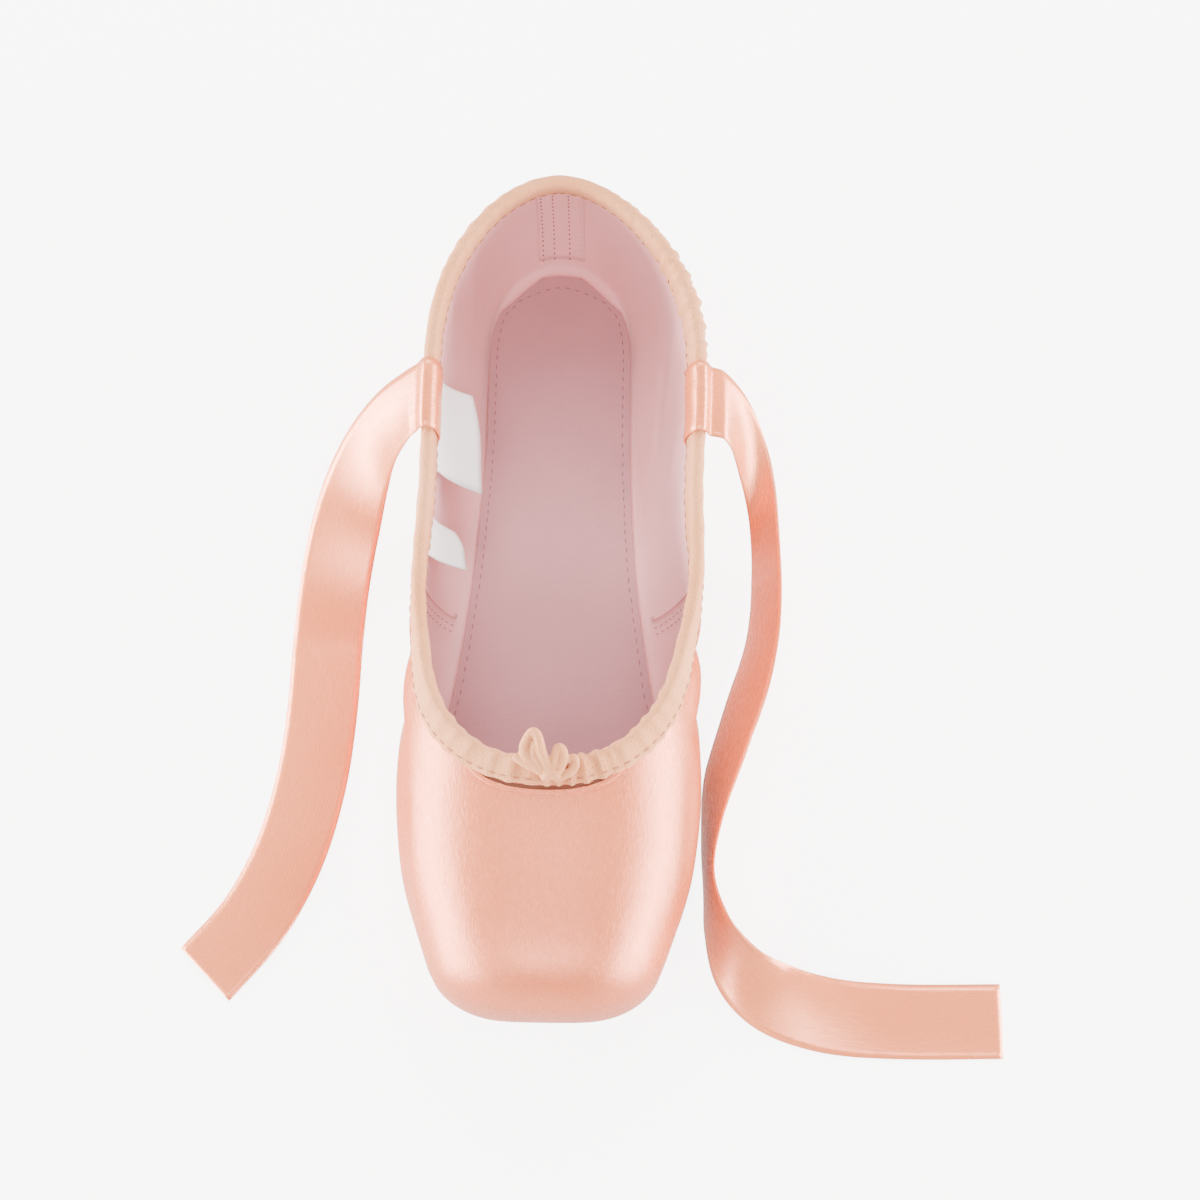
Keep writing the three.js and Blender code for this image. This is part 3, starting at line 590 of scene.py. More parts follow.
def sew(name, paths, finish, stitch):
    """Rows of stitches laid along paths of (point, outward direction)."""
    one = bead(stitch["length"], stitch["thickness"])
    rows = bmesh.new()
    for path in paths:
        run = sum((b[0] - a[0]).length for a, b in zip(path, path[1:]))
        every = max(1, round((stitch["length"] + stitch["gap"]) * (len(path) - 1) / run))
        for k in range(1, len(path) - 1, every):
            at, out = path[k]
            ahead = (path[k + 1][0] - path[k - 1][0]).normalized()
            aside = out.cross(ahead).normalized()
            turn = Matrix((ahead, aside, ahead.cross(aside))).transposed().to_4x4()
            turn.translation = at + out * stitch["lift"]
            first = len(rows.verts)
            rows.from_mesh(one)
            rows.verts.ensure_lookup_table()
            bmesh.ops.transform(rows, matrix=turn, verts=rows.verts[first:])
    piece = piece_from(rows, name)
    piece.data.materials.append(finish)
    only(piece)
    bpy.ops.object.shade_smooth()
    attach(piece, "root")


# Ribbons
def has_length(edge, length):
    """Whether an edge of a ribbon's solid is as long as given."""
    return abs(edge.calc_length() - length) < SAME_LENGTH


def middle_of(pair):
    """Middle of the two corners at one long edge of a ribbon's solid."""
    return sum((vert.co for vert in pair), Vector()) / 2


def neighbours(section, section_of):
    """Sections joined to one by an edge."""
    verts = {vert for pair in section for vert in pair}
    joined = {section_of[edge.other_vert(vert)] for vert in verts for edge in vert.link_edges}
    return joined - {section}


def ribbon_edges(piece):
    """The two long edges of a ribbon's solid, from its sewn end, as lists of points."""
    cage = bmesh.new()
    cage.from_mesh(piece.data)
    pair_of = {}
    for edge in cage.edges:
        if has_length(edge, SOLID_THICKNESS):
            pair_of.update({vert: frozenset(edge.verts) for vert in edge.verts})
    section_of = {}
    for edge in cage.edges:
        if has_length(edge, RIBBON_WIDTH):
            pairs = [pair_of[vert] for vert in edge.verts]
            section_of.update({vert: frozenset(pairs) for pair in pairs for vert in pair})
    ends = [s for s in set(section_of.values()) if len(neighbours(s, section_of)) == 1]
    at = min(ends, key=lambda section: sum(middle_of(pair).x ** 2 for pair in section))
    edges = [[], []]
    seen = set()
    while at:
        seen.add(at)
        toe_pair, heel_pair = sorted(at, key=lambda pair: middle_of(pair).y)
        if edges[0]:
            last = edges[0][-1]
            toe_pair, heel_pair = sorted(at, key=lambda pair: (middle_of(pair) - last).length)
        edges[0].append(middle_of(toe_pair))
        edges[1].append(middle_of(heel_pair))
        ahead = neighbours(at, section_of) - seen
        at = ahead.pop() if ahead else None
    cage.free()
    return edges


def snug(point, wall, share):
    """Moves a point of the sewn end to lie just off the lining or casing behind it."""
    if share <= 0:
        return point
    near, _, _, distance = wall.find_nearest(point)
    return point.lerp(near, share * max(0.0, 1 - SEWN_GAP / distance))


def sew_ribbon(name, tree, toe_edge, heel_edge):
    """Stitches along both edges of a ribbon's sewn end, on the side that faces the room in the shoe."""
    rows = []
    for share in RIBBON_ROWS:
        line = [Vector(a + (b - a) * share) for a, b in zip(toe_edge, heel_edge)]
        path = smooth_path(line[:SEWN_SECTIONS], SEAM_PITCH)
        inward = Vector((1 if path[0].x < 0 else -1, 0, 0))
        laid = laid_on(tree, [point + inward * MM for point in path])
        rows.append([(at, inward) for at, _ in laid])
    sew(name, rows, thread, RIBBON_STITCH)


def ribbon(node, wall):
    """A satin ribbon from its solid: a thin sheet, cupped across, snug to the lining where it is sewn."""
    solid = copy_of(node, node + "_solid")
    toe_edge, heel_edge = (curve(edge, RIBBON_FINENESS) for edge in ribbon_edges(solid))
    bpy.data.objects.remove(solid)
    middle = (toe_edge + heel_edge) / 2
    run = np.concatenate([[0], np.cumsum(np.linalg.norm(np.diff(middle, axis=0), axis=1))])
    shape = bmesh.new()
    sheet_map = shape.loops.layers.uv.new("cloth")
    rows = []
    upward = np.array([-np.sign(middle[0][0]), 0, 0])
    for k, (a, b) in enumerate(zip(toe_edge, heel_edge)):
        ahead = middle[min(k + 1, len(middle) - 1)] - middle[max(k - 1, 0)]
        face = np.cross(ahead, b - a)
        face /= np.linalg.norm(face)
        # The cup keeps to the same side of the ribbon as it turns
        if face @ upward < 0:
            face = -face
        upward = face
        free = min(1.0, max(0.0, (k - SEWN_SECTIONS) / SEWN_SECTIONS))
        row = []
        for t in np.linspace(0, 1, RIBBON_ACROSS):
            cup = RIBBON_CUP * free * (1 - (2 * t - 1) ** 2)
            point = Vector(a + (b - a) * t + face * cup)
            point = snug(point, wall, 1 - free)
            point.z = max(point.z, RIBBON_THICKNESS)
            row.append(shape.verts.new(point))
        rows.append(row)
    for k in range(len(rows) - 1):
        for j in range(RIBBON_ACROSS - 1):
            corners = (rows[k][j], rows[k][j + 1], rows[k + 1][j + 1], rows[k + 1][j])
            made = shape.faces.new(corners)
            for loop, (down, side) in zip(made.loops, ((k, j), (k, j + 1), (k + 1, j + 1), (k + 1, j))):
                loop[sheet_map].uv = (side / (RIBBON_ACROSS - 1) * RIBBON_WIDTH, run[down])
    piece = piece_from(shape, node + "_satin")
    thicken(piece, RIBBON_THICKNESS, offset=0)
    piece.data.materials.append(ribbon_satin)
    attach(piece, "root")
    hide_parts(node)
    sew_ribbon(node + "_stitches", surface_of(piece), toe_edge, heel_edge)


# Upper
def is_outside(points, normals):
    """Whether each face or point looks away from the middle line of the foot's room."""
    middle = points.copy()
    middle[:, 0] = 0
    middle[:, 1] = np.clip(middle[:, 1], shoe_low.y + TOE_MIDDLE, shoe_high.y - HEEL_MIDDLE)
    middle[:, 2] = ROOM_HEIGHT
    return ((points - middle) * normals).sum(axis=1) > 0


def press(piece, path, width, depth, outer=True):
    """Presses a soft trough into one face of a wall along a path, or a ridge if depth is below zero."""
    points = points_of(piece)
    normals = normals_of(piece)
    line = np.array(path)
    best = np.full(len(points), np.inf)
    along = np.zeros(len(points))
    run = np.concatenate([[0], np.cumsum(np.linalg.norm(np.diff(line, axis=0), axis=1))])
    for k in range(len(line) - 1):
        span = line[k + 1] - line[k]
        t = np.clip(((points - line[k]) @ span) / (span @ span), 0, 1)
        far = np.linalg.norm(points - line[k] - t[:, None] * span, axis=1)
        closer = far < best
        best[closer] = far[closer]
        along[closer] = run[k] + t[closer] * (run[k + 1] - run[k])
    across = np.clip(best / width, 0, 1)
    profile = np.cos(across * math.pi / 2) ** 2
    ends = np.sin(np.clip(along / run[-1], 0, 1) * math.pi) ** END_FADE
    amount = depth * profile * ends * (is_outside(points, normals) == outer)
    set_points(piece, points - normals * amount[:, None])


# Main creases of the satin, the same on both sides: three places as shares of length and height, then
# width and depth in millimetres, with a depth below zero for a ridge
CREASES = [
    # From the throat back to the waist
    {"shares": ((0.64, 0.84), (0.57, 0.72), (0.5, 0.5)), "width": 4.2, "depth": -1.3},
    {"shares": ((0.655, 0.78), (0.59, 0.62), (0.51, 0.38)), "width": 4.6, "depth": 1.5},
    {"shares": ((0.67, 0.66), (0.6, 0.48), (0.51, 0.24)), "width": 5.5, "depth": -1.2},
    {"shares": ((0.7, 0.6), (0.62, 0.38), (0.54, 0.18)), "width": 6, "depth": 0.9},
    # Behind the waist
    {"shares": ((0.54, 0.7), (0.47, 0.56), (0.4, 0.5)), "width": 4.5, "depth": 1.1},
    {"shares": ((0.53, 0.58), (0.46, 0.44), (0.38, 0.38)), "width": 4.5, "depth": -0.9},
    {"shares": ((0.5, 0.36), (0.44, 0.28), (0.37, 0.26)), "width": 4, "depth": -0.8},
    # Along the vamp and down to the toe
    {"shares": ((0.7, 0.62), (0.8, 0.55), (0.9, 0.44)), "width": 7, "depth": 0.7},
    {"shares": ((0.79, 0.05), (0.8, 0.18), (0.83, 0.3)), "width": 1.8, "depth": 0.7},
    {"shares": ((0.85, 0.06), (0.86, 0.2), (0.9, 0.32)), "width": 2, "depth": 0.8},
    {"shares": ((0.91, 0.06), (0.92, 0.22), (0.96, 0.36)), "width": 2.2, "depth": 0.7},
    # At the heel and the quarter
    {"shares": ((0.17, 0.78), (0.13, 0.6), (0.1, 0.34)), "width": 5.5, "depth": 0.9},
    {"shares": ((0.22, 0.76), (0.18, 0.56), (0.16, 0.3)), "width": 5, "depth": -0.7},
    {"shares": ((0.36, 0.7), (0.31, 0.5), (0.29, 0.26)), "width": 5.5, "depth": 1.0},
    {"shares": ((0.4, 0.68), (0.36, 0.48), (0.34, 0.26)), "width": 5, "depth": -0.8},
]

# Soft folds of the lining: side, then as above
LINING_FOLDS = [
    {"side": 1, "shares": ((0.17, 0.82), (0.22, 0.6), (0.29, 0.42)), "width": 7, "depth": -0.9},
    {"side": 1, "shares": ((0.2, 0.55), (0.25, 0.4), (0.33, 0.3)), "width": 5, "depth": 0.7},
    {"side": 1, "shares": ((0.3, 0.66), (0.36, 0.55), (0.4, 0.4)), "width": 6, "depth": -0.6},
    {"side": 1, "shares": ((0.6, 0.5), (0.62, 0.4), (0.65, 0.34)), "width": 2.4, "depth": -0.6},
    {"side": 1, "shares": ((0.62, 0.56), (0.65, 0.46), (0.67, 0.38)), "width": 2.4, "depth": 0.6},
    {"side": 1, "shares": ((0.64, 0.6), (0.67, 0.5), (0.69, 0.42)), "width": 2.6, "depth": -0.6},
    {"side": -1, "shares": ((0.13, 0.86), (0.16, 0.6), (0.2, 0.4)), "width": 6, "depth": 0.7},
    {"side": -1, "shares": ((0.1, 0.8), (0.12, 0.5), (0.15, 0.3)), "width": 6, "depth": -0.6},
    {"side": -1, "shares": ((0.55, 0.6), (0.6, 0.5), (0.64, 0.36)), "width": 4, "depth": -0.5},
]


def inner_path(tree, side, shares):
    """A path on the shoe's inner side through places given as shares of length and height."""
    path = []
    for along, up in shares:
        start = place(0, along, up)
        hit = tree.ray_cast(start, Vector((side, 0, 0)))[0]
        path.append(hit if hit else tree.find_nearest(start)[0])
    return path


def side_path(tree, side, shares):
    """A path on the shoe's outer side through places given as shares of length and height."""
    path = []
    for along, up in shares:
        start = place(HALF_WIDTHS_OFF * side, along, up)
        hit = tree.ray_cast(start, Vector((-side, 0, 0)))[0]
        path.append(hit if hit else tree.find_nearest(start)[0])
    return path


def build_upper():
    """Satin outside and cotton inside on one wall, with the main creases and folds."""
    piece = copy_of("upper", "upper_satin")
    joined_ring(piece)
    refine(piece)
    tree = surface_of(piece)
    for side in (-1, 1):
        for crease in CREASES:
            path = smooth_path(side_path(tree, side, crease["shares"]), CREASE_PITCH)
            press(piece, path, crease["width"] * MM, crease["depth"] * MM)
    for fold in LINING_FOLDS:
        path = smooth_path(inner_path(tree, fold["side"], fold["shares"]), CREASE_PITCH)
        press(piece, path, fold["width"] * MM, fold["depth"] * MM, outer=False)
    piece.data.materials.append(satin)
    piece.data.materials.append(lining)
    centres = np.array([p.center for p in piece.data.polygons])
    normals = np.array([p.normal for p in piece.data.polygons])
    inside = np.where(is_outside(centres, normals), 0, 1)
    piece.data.polygons.foreach_set("material_index", inside)
    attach(piece, "root")
    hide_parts("upper")
    return piece


# Casing
# Gathers: at and reach as shares of the way round the topline, height and pitch in millimetres
GATHERS = [
    {"at": 0.487, "reach": 0.035, "height": 0.75, "pitch": 3.3},
    {"at": 0.52, "reach": 0.025, "height": 0.5, "pitch": 4.4},
    {"at": 0.13, "reach": 0.085, "height": 0.8, "pitch": 3.1},
    {"at": 0.12, "reach": 0.09, "height": 0.6, "pitch": 6.7},
    {"at": 0.06, "reach": 0.05, "height": 0.4, "pitch": 3.9},
    {"at": 0.93, "reach": 0.08, "height": 0.35, "pitch": 5.5},
    {"at": 0.7, "reach": 0.3, "height": 0.22, "pitch": 11},
    {"at": 0.3, "reach": 0.3, "height": 0.25, "pitch": 10},
    {"at": 0.43, "reach": 0.08, "height": 0.4, "pitch": 5.6},
    {"at": 0.58, "reach": 0.08, "height": 0.35, "pitch": 6.4},
]


def gather_height(run, total):
    """How far the casing stands off at a run along the topline."""
    height = 0
    for row in GATHERS:
        away = abs(run / total - row["at"])
        away = min(away, 1 - away) / row["reach"]
        if away < 1:
            swell = math.cos(away * math.pi / 2) ** 2
            wander = GATHER_WANDER * math.sin(2 * math.pi * run / (WANDER_PITCHES * row["pitch"] * MM))
            fold = 0.5 + 0.5 * math.sin(2 * math.pi * run / (row["pitch"] * MM) + wander)
            height += row["height"] * MM * swell * fold**GATHER_SHARPNESS
    return height


def split_along(piece, rows):
    """Halves each face of a ring-shaped cage along the ring, so that small gathers have room."""
    row_of = {tuple(round(c, PLACES) for c in point): k for k, row in enumerate(rows) for point in row}
    cage = bmesh.new()
    cage.from_mesh(piece.data)
    number = {v: row_of[tuple(round(c, PLACES) for c in v.co)] for v in cage.verts}
    along = [e for e in cage.edges if number[e.verts[0]] == number[e.verts[1]]]
    bmesh.ops.subdivide_edges(cage, edges=along, cuts=1, use_grid_fill=True)
    cage.to_mesh(piece.data)
    cage.free()


def build_casing():
    """Folded cotton casing over the topline, puckered by its drawstring."""
    piece = copy_of("binding", "binding_casing")
    joined_ring(piece)
    rows = rows_round(piece)
    split_along(piece, rows)
    refine(piece)
    middles = [sum(points, Vector()) / len(rows) for points in zip(*rows)]
    core = smooth_path(middles, SEAM_PITCH, closed=True)
    total = len(core) * SEAM_PITCH
    nearest = kdtree.KDTree(len(core))
    for k, point in enumerate(core):
        nearest.insert(point, k)
    nearest.balance()
    points = points_of(piece)
    for k, point in enumerate(points):
        at, number, _ = nearest.find(point)
        out = (Vector(point) - at).normalized()
        points[k] += np.array(out) * gather_height(number * SEAM_PITCH, total)
    set_points(piece, points)
    piece.data.materials.append(casing)
    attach(piece, "root")
    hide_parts("binding")
    return piece, rows


def blended(one, other, share):
    """The row that lies a share of the way from one row to another."""
    return [a.lerp(b, share) for a, b in zip(one, other)]


def sew_casing(piece, rows):
    """Machine stitches near the casing's lower edges, outside and inside."""
    tree = surface_of(piece)
    outside = blended(rows[OUTER_LOW], rows[OUTER_LOW + 1], ABOVE_EDGE)
    inside = blended(rows[INNER_LOW], rows[INNER_LOW - 1], ABOVE_EDGE)
    paths = [laid_on(tree, smooth_path(row, CASING_PITCH, closed=True)) for row in (outside, inside)]
    sew("casing_stitches", paths, thread, CASING_STITCH)


# Insole and outsole
def soften_edges(piece):
    """Bevels a flat piece's edges and rounds it."""
    only(piece)
    edge = piece.modifiers.new("edge", "BEVEL")
    edge.width = EDGE_ROUND
    edge.segments = 2
    edge.limit_method = "ANGLE"
    edge.angle_limit = SHARP_ANGLE
    bpy.ops.object.modifier_apply(modifier=edge.name)
    refine(piece)


def build_insole():
    """Sock-covered board, its heel end rounded."""
    piece = copy_of("insole", "insole_sock")
    joined_flats(piece)
    soften_edges(piece)
    points = points_of(piece)
    nearness = np.clip((points[:, 1] - points[:, 1].max()) / SOCK_HEEL_ROUND + 1, 0, 1)
    points[:, 1] -= SOCK_HEEL_DROP * nearness * (points[:, 0] / SOCK_HEEL_ROUND) ** 2
    set_points(piece, points)
    piece.data.materials.append(sock)
    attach(piece, "root")
    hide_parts("insole")
    return piece


def build_outsole():
    """Leather sole with soft edges."""
    piece = copy_of("outsole", "outsole_leather")
    joined_flats(piece)
    soften_edges(piece)
    piece.data.materials.append(leather)
    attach(piece, "root")
    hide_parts("outsole")


# Knot of the drawstring: routes in millimetres across, up the casing and out from it
KNOT_ROUTES = [
    {"thick": 1.3, "route": [(0.6, 0.2, 0.8), (-3.0, 2.8, 1.3), (-5.7, 5.4, 1.5), (-6.5, 8.2, 1.7),
                             (-4.5, 11.8, 2.2), (-3.0, 10.8, 2.6), (-1.9, 7.0, 2.5), (-0.4, 3.4, 1.9),
                             (0.6, 0.6, 1.3)]},
    {"thick": 1.4, "route": [(-0.6, 1.4, 1.2), (-2.7, 4.2, 1.5), (-3.9, 6.6, 1.6), (-3.4, 9.4, 1.9)]},
    {"thick": 1.2, "route": [(-1.2, 1.4, 0.9), (-4.6, 3.2, 1.2), (-7.6, 4.8, 1.0), (-8.8, 5.8, 0.6)]},
    {"thick": 1.3, "route": [(0.7, 0.4, 0.8), (2.2, 2.0, 1.5), (3.5, 4.8, 1.7), (3.4, 7.2, 1.8),
                             (2.2, 7.9, 1.9), (1.4, 5.4, 1.9), (0.8, 2.2, 1.6)]},
    {"thick": 1.2, "route": [(1.6, 0.2, 0.7), (4.6, 1.4, 1.1), (6.6, 3.4, 1.1), (6.2, 5.4, 1.0),
                             (4.7, 4.6, 1.0)]},
    {"thick": 1.35, "route": [(-1.2, 0.2, 0.7), (-0.2, 1.2, 1.9), (1.4, 1.3, 1.9), (2.2, 0.1, 0.7)]},
]


def build_knot(tree):
    """Cloth and string pinched into a soft pointed loop with smaller folds beside it."""
    low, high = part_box("drawstring_knot")
    foot, out, _, _ = tree.find_nearest(Vector((KNOT_ASIDE, low.y + KNOT_FOOT, high.z)))
    across = Vector((1, 0, 0))
    up = out.cross(across).normalized()
    ropes = []
    for row in KNOT_ROUTES:
        route = [foot + (across * x + up * y + out * z) * MM for x, y, z in row["route"]]
        line = bpy.data.curves.new("knot_rope", "CURVE")
        line.dimensions = "3D"
        line.bevel_depth = row["thick"] * MM
        line.bevel_resolution = 3
        line.use_fill_caps = True
        spline = line.splines.new("POLY")
        dense = curve(route, KNOT_STEPS)
        spline.points.add(len(dense) - 1)
        for point, at in zip(spline.points, dense):
            point.co = (*at, 1)
        rope = bpy.data.objects.new("knot_rope", line)
        bpy.context.scene.collection.objects.link(rope)
        ropes.append(rope)
    bpy.ops.object.select_all(action="DESELECT")
    for rope in ropes:
        rope.select_set(True)
    bpy.context.view_layer.objects.active = ropes[0]
    bpy.ops.object.convert(target="MESH")
    bpy.ops.object.join()
    piece = bpy.context.object
    piece.name = "drawstring_bow"
    fuse = piece.modifiers.new("fuse", "REMESH")
    fuse.mode = "VOXEL"
    fuse.voxel_size = KNOT_GRAIN
    bpy.ops.object.modifier_apply(modifier=fuse.name)
    ease = piece.modifiers.new("ease", "SMOOTH")
    ease.factor = KNOT_EASE
    ease.iterations = 3
    bpy.ops.object.modifier_apply(modifier=ease.name)
    bpy.ops.object.shade_smooth()
    piece.data.materials.append(casing)
    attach(piece, "root")
    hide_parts("drawstring_knot")


# Details inside and at the seams
def inner_tree(piece):
    """A search tree over the lining's faces alone."""
    corners = [v.co for v in piece.data.vertices]
    faces = [tuple(p.vertices) for p in piece.data.polygons if p.material_index == 1]
    return BVHTree.FromPolygons(corners, faces)


def wall_path(tree, spot, aim, heights):
    """Points where level rays from above a spot meet a wall in the direction aim, at the given heights."""
    path = []
    for z in heights:
        start = Vector((spot.x, spot.y, z))
        hit = tree.ray_cast(start, Vector((aim.x, aim.y, 0)).normalized())[0]
        if hit:
            path.append(hit)
    return path


def strip(name, tree, path, tape, finish):
    """A narrow tape laid along a path on a surface."""
    laid = laid_on(tree, path)
    shape = bmesh.new()
    rows = []
    for k, (at, out) in enumerate(laid):
        ahead = laid[min(k + 1, len(laid) - 1)][0] - laid[max(k - 1, 0)][0]
        aside = ahead.cross(out).normalized()
        row = []
        for t in range(TAPE_STEPS + 1):
            spot, normal, _, _ = tree.find_nearest(at + aside * tape["width"] * (t / TAPE_STEPS - 0.5))
            row.append(shape.verts.new(spot + normal * tape["lift"]))
        rows.append(row)
    for a, b in zip(rows, rows[1:]):
        for t in range(TAPE_STEPS):
            shape.faces.new((a[t], a[t + 1], b[t + 1], b[t]))
    piece = piece_from(shape, name)
    thicken(piece, tape["thickness"], offset=0)
    bpy.ops.object.mode_set(mode="EDIT")
    bpy.ops.mesh.select_all(action="SELECT")
    bpy.ops.mesh.normals_make_consistent(inside=False)
    bpy.ops.object.mode_set(mode="OBJECT")
    piece.data.materials.append(finish)
    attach(piece, "root")
    return piece


def shifted(laid, aside):
    """A laid path moved sideways along its surface."""
    moved = []
    for k, (at, out) in enumerate(laid):
        ahead = laid[min(k + 1, len(laid) - 1)][0] - laid[max(k - 1, 0)][0]
        moved.append((at + ahead.cross(out).normalized() * aside, out))
    return moved


def in_room(laid):
    """The same points with their directions turned to face the room inside the shoe."""
    return [(at, out if out.y < 0 else -out) for at, out in laid]


def heel_stay(tree):
    """Cotton tape down the inside of the back seam, with four rows of stitches."""
    heights = np.linspace(STAY_LOW, shoe_high.z - CASING_DEPTH, STAY_POINTS)
    path = wall_path(tree, place(0, STAY_SEEN_FROM, 0), Vector((0, 1, 0)), heights)
    tape = surface_of(strip("heel_stay", tree, path, STAY_TAPE, lining))
    laid = laid_on(tree, smooth_path(path, STAY_PITCH))
    rows = []
    for share in STAY_ROWS:
        row = [at + Vector((0, -1, 0)) * MM for at, _ in shifted(laid, share * STAY_TAPE["width"])]
        rows.append(in_room(laid_on(tape, row)))
    sew("heel_stay_stitches", rows, sock_thread, STAY_STITCH)


def cross_seams(tree):
    """The lining's seams at the waist, with two rows of stitches beside each."""
    rows = []
    for side in (-1, 1):
        heights = np.linspace(LINING_SEAM_LOW, WAIST_TOP, LINING_SEAM_POINTS)
        path = wall_path(tree, place(0, WAIST_SEAM, 0), Vector((side, LINING_SEAM_SLANT, 0)), heights)
        name = "lining_seam_right" if side > 0 else "lining_seam_left"
        strip(name, tree, path, LINING_SEAM, lining)
        laid = laid_on(tree, smooth_path(path, SEAM_PITCH), LINING_ROW_LIFT)
        for aside in LINING_ROWS:
            rows.append(shifted(laid, aside * side))
    sew("lining_seam_stitches", rows, lining_thread, LINING_STITCH)


def outer_seams(tree):
    """The satin's side seams at the waist and its back seam."""
    rows = []
    for side in (-1, 1):
        beside = place(HALF_WIDTHS_OFF * side, WAIST_SEAM, 0)
        heights = np.linspace(SATIN_SEAM_LOW, WAIST_TOP, SATIN_SEAM_POINTS)
        path = wall_path(tree, beside, Vector((-side, SATIN_SEAM_SLANT, 0)), heights)
        name = "side_seam_right" if side > 0 else "side_seam_left"
        strip(name, tree, path, SATIN_SEAM, satin)
        laid = laid_on(tree, smooth_path(path, SEAM_PITCH), SATIN_ROW_LIFT)
        rows.append(shifted(laid, SATIN_ROW_ASIDE))
    heights = np.linspace(SATIN_SEAM_LOW, shoe_high.z - CASING_DEPTH, SATIN_SEAM_POINTS)
    behind = Vector((0, shoe_high.y + FAR_OFF, 0))
    path = wall_path(tree, behind, Vector((0, -1, 0)), heights)
    strip("back_seam", tree, path, SATIN_SEAM, satin)
    sew("side_seam_stitches", rows, thread, SATIN_STITCH)


# Bare cloth labels: flat size in metres, then in millimetres where the sewn edge starts and ends along the
# lining, and the two free corners
LABELS = [
    {"name": "label_large", "flat": (0.027, 0.02), "from": 56.5, "to": 29.5,
     "free": [(-19.6, 27.4, 28), (-24.0, 56.6, 30)]},
    {"name": "label_small", "flat": (0.013, 0.018), "from": 17.5, "to": 4.8,
     "free": [(-23.0, 4.6, 28), (-27.6, 15.5, 29)]},
]


def add_labels(tree):
    """Two white cloth labels, sewn in at their top edge and curling away from the lining."""
    for row in LABELS:
        heel_end, toe_end = (Vector((0, row[side] * MM, 0)) for side in ("from", "to"))
        a, b = (wall_path(tree, at, Vector((-1, 0, 0)), [LABEL_HEIGHT])[0] for at in (heel_end, toe_end))
        c, d = (Vector(corner) * MM for corner in row["free"])
        shape = bmesh.new()
        grid = []
        for i in range(LABEL_STEPS + 1):
            u = i / LABEL_STEPS
            line = []
            for j in range(LABEL_STEPS + 1):
                v = j / LABEL_STEPS
                point = a.lerp(b, u).lerp(d.lerp(c, u), v)
                hang = math.sin(v * math.pi) * LABEL_CURL
                ripple = math.sin(u * LABEL_WAVE) * v * LABEL_CURL
                bend = Vector((LABEL_RIPPLE * ripple - hang, 0, -LABEL_HANG * hang))
                line.append(shape.verts.new(point + bend))
            grid.append(line)
        for i in range(LABEL_STEPS):
            for j in range(LABEL_STEPS):
                shape.faces.new((grid[i][j], grid[i][j + 1], grid[i + 1][j + 1], grid[i + 1][j]))
        piece = piece_from(shape, row["name"])
        thicken(piece, LABEL_THICKNESS, offset=-1)
        piece.data.materials.append(label_cloth)
        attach(piece, "root")


def sew_insole(piece):
    """Stitches just inside the sock's edge, up one side, round the heel and back."""
    tree = surface_of(piece)
    low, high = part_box("insole")
    sides = []
    for side in (-1, 1):
        path = []
        for y in np.linspace(low.y + SOCK_TOE, high.y - SOCK_HEEL, SOCK_POINTS):
            reach = 0
            while tree.ray_cast(Vector((side * reach, y, FAR_OFF)), Vector((0, 0, -1)))[0]:
                reach += REACH_STEP
            path.append(Vector((side * (reach - SOCK_STITCH_INSET), y, high.z)))
        sides.append(path)
    round_heel = [Vector((0, high.y - SOCK_HEEL / 2, high.z))]
    path = smooth_path(sides[0] + round_heel + sides[1][::-1], SEAM_PITCH)
    sew("sock_stitches", [laid_on(tree, path, SOCK_ROW_LIFT)], sock_thread, SOCK_STITCH)


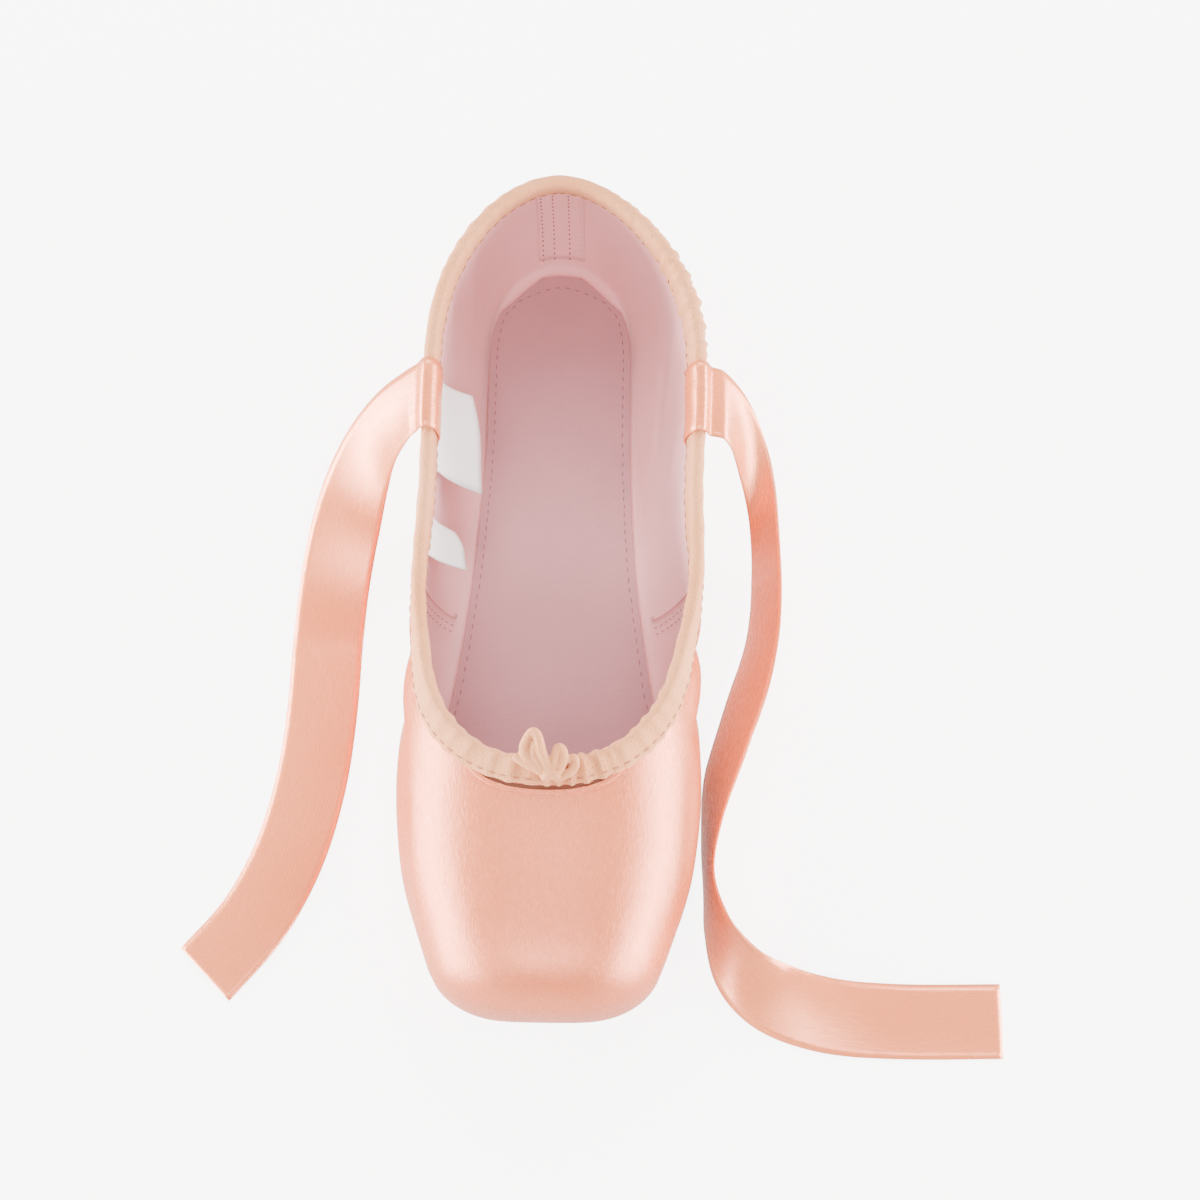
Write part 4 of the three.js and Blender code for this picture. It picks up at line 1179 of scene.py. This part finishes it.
def throat_lip(piece, rows):
    """A dark strip of painted shadow under the casing at the throat, for the shade in the gap under its
    edge, and the satin's small lip below it.
    """
    tree = surface_of(piece)
    count = len(rows[OUTER_LOW])
    front = [k for k in range(count) if abs(k - count / 2) < THROAT_STATIONS]
    # seam holds the path of the dark strip of painted shadow under the casing's edge
    seam = []
    lip = []
    for k in front:
        edge = rows[OUTER_LOW][k]
        down = (edge - rows[OUTER_LOW + 1][k]).normalized()
        shown = 1 - (abs(k - count / 2) / THROAT_STATIONS) ** TUCK_SHARPNESS
        seam.append(edge + down * (SHADOW_BELOW_EDGE * shown - TUCKED * (1 - shown)))
        lip.append(edge + down * (LIP_BELOW_EDGE * shown - TUCKED * (1 - shown)))
    # Dark strip of painted shadow, standing for the shade in the gap under the casing's edge
    strip("throat_shadow_strip", tree, smooth_path(seam, THROAT_PITCH), THROAT_SHADOW, painted_throat_shadow)
    strip("throat_lip", tree, smooth_path(lip, THROAT_PITCH), THROAT_LIP, satin)


# Floor and light
def add_floor():
    """The floor that the shoe and its ribbons lie on."""
    bpy.ops.object.select_all(action="DESELECT")
    bpy.ops.mesh.primitive_plane_add(size=FLOOR_SIZE, location=(0, 0, -FLOOR_BELOW))
    floor = bpy.context.object
    floor.name = "floor"
    bpy.ops.object.transform_apply(location=True)
    floor.data.materials.append(lit_floor())


def add_softbox(name, at, aim, size, power):
    """A rectangular soft light that the camera itself doesn't see."""
    bpy.ops.object.light_add(type="AREA", location=at)
    lamp = bpy.context.object
    lamp.name = name
    lamp.data.shape = "RECTANGLE"
    lamp.data.size, lamp.data.size_y = size
    lamp.data.energy = power
    lamp.rotation_euler = (Vector(aim) - Vector(at)).to_track_quat("-Z", "Y").to_euler()
    lamp.visible_camera = False


def add_world():
    """Even white light from all round."""
    world = bpy.data.worlds.new("studio")
    world.use_nodes = True
    sky = world.node_tree.nodes["Background"]
    sky.inputs["Color"].default_value = tone("ffffff")
    sky.inputs["Strength"].default_value = WORLD_LIGHT
    bpy.context.scene.world = world


add_camera()
casing_piece, casing_rows = build_casing()
upper_piece = build_upper()
throat_lip(upper_piece, casing_rows)
insole_piece = build_insole()
build_outsole()
casing_tree = surface_of(casing_piece)
build_knot(casing_tree)
ribbon("ribbon_left", casing_tree)
ribbon("ribbon_right", casing_tree)
sew_casing(casing_piece, casing_rows)
lining_tree = inner_tree(upper_piece)
heel_stay(lining_tree)
cross_seams(lining_tree)
outer_seams(surface_of(upper_piece))
add_labels(lining_tree)
sew_insole(insole_piece)
add_floor()
add_world()
for lamp in LAMPS:
    add_softbox(**lamp)
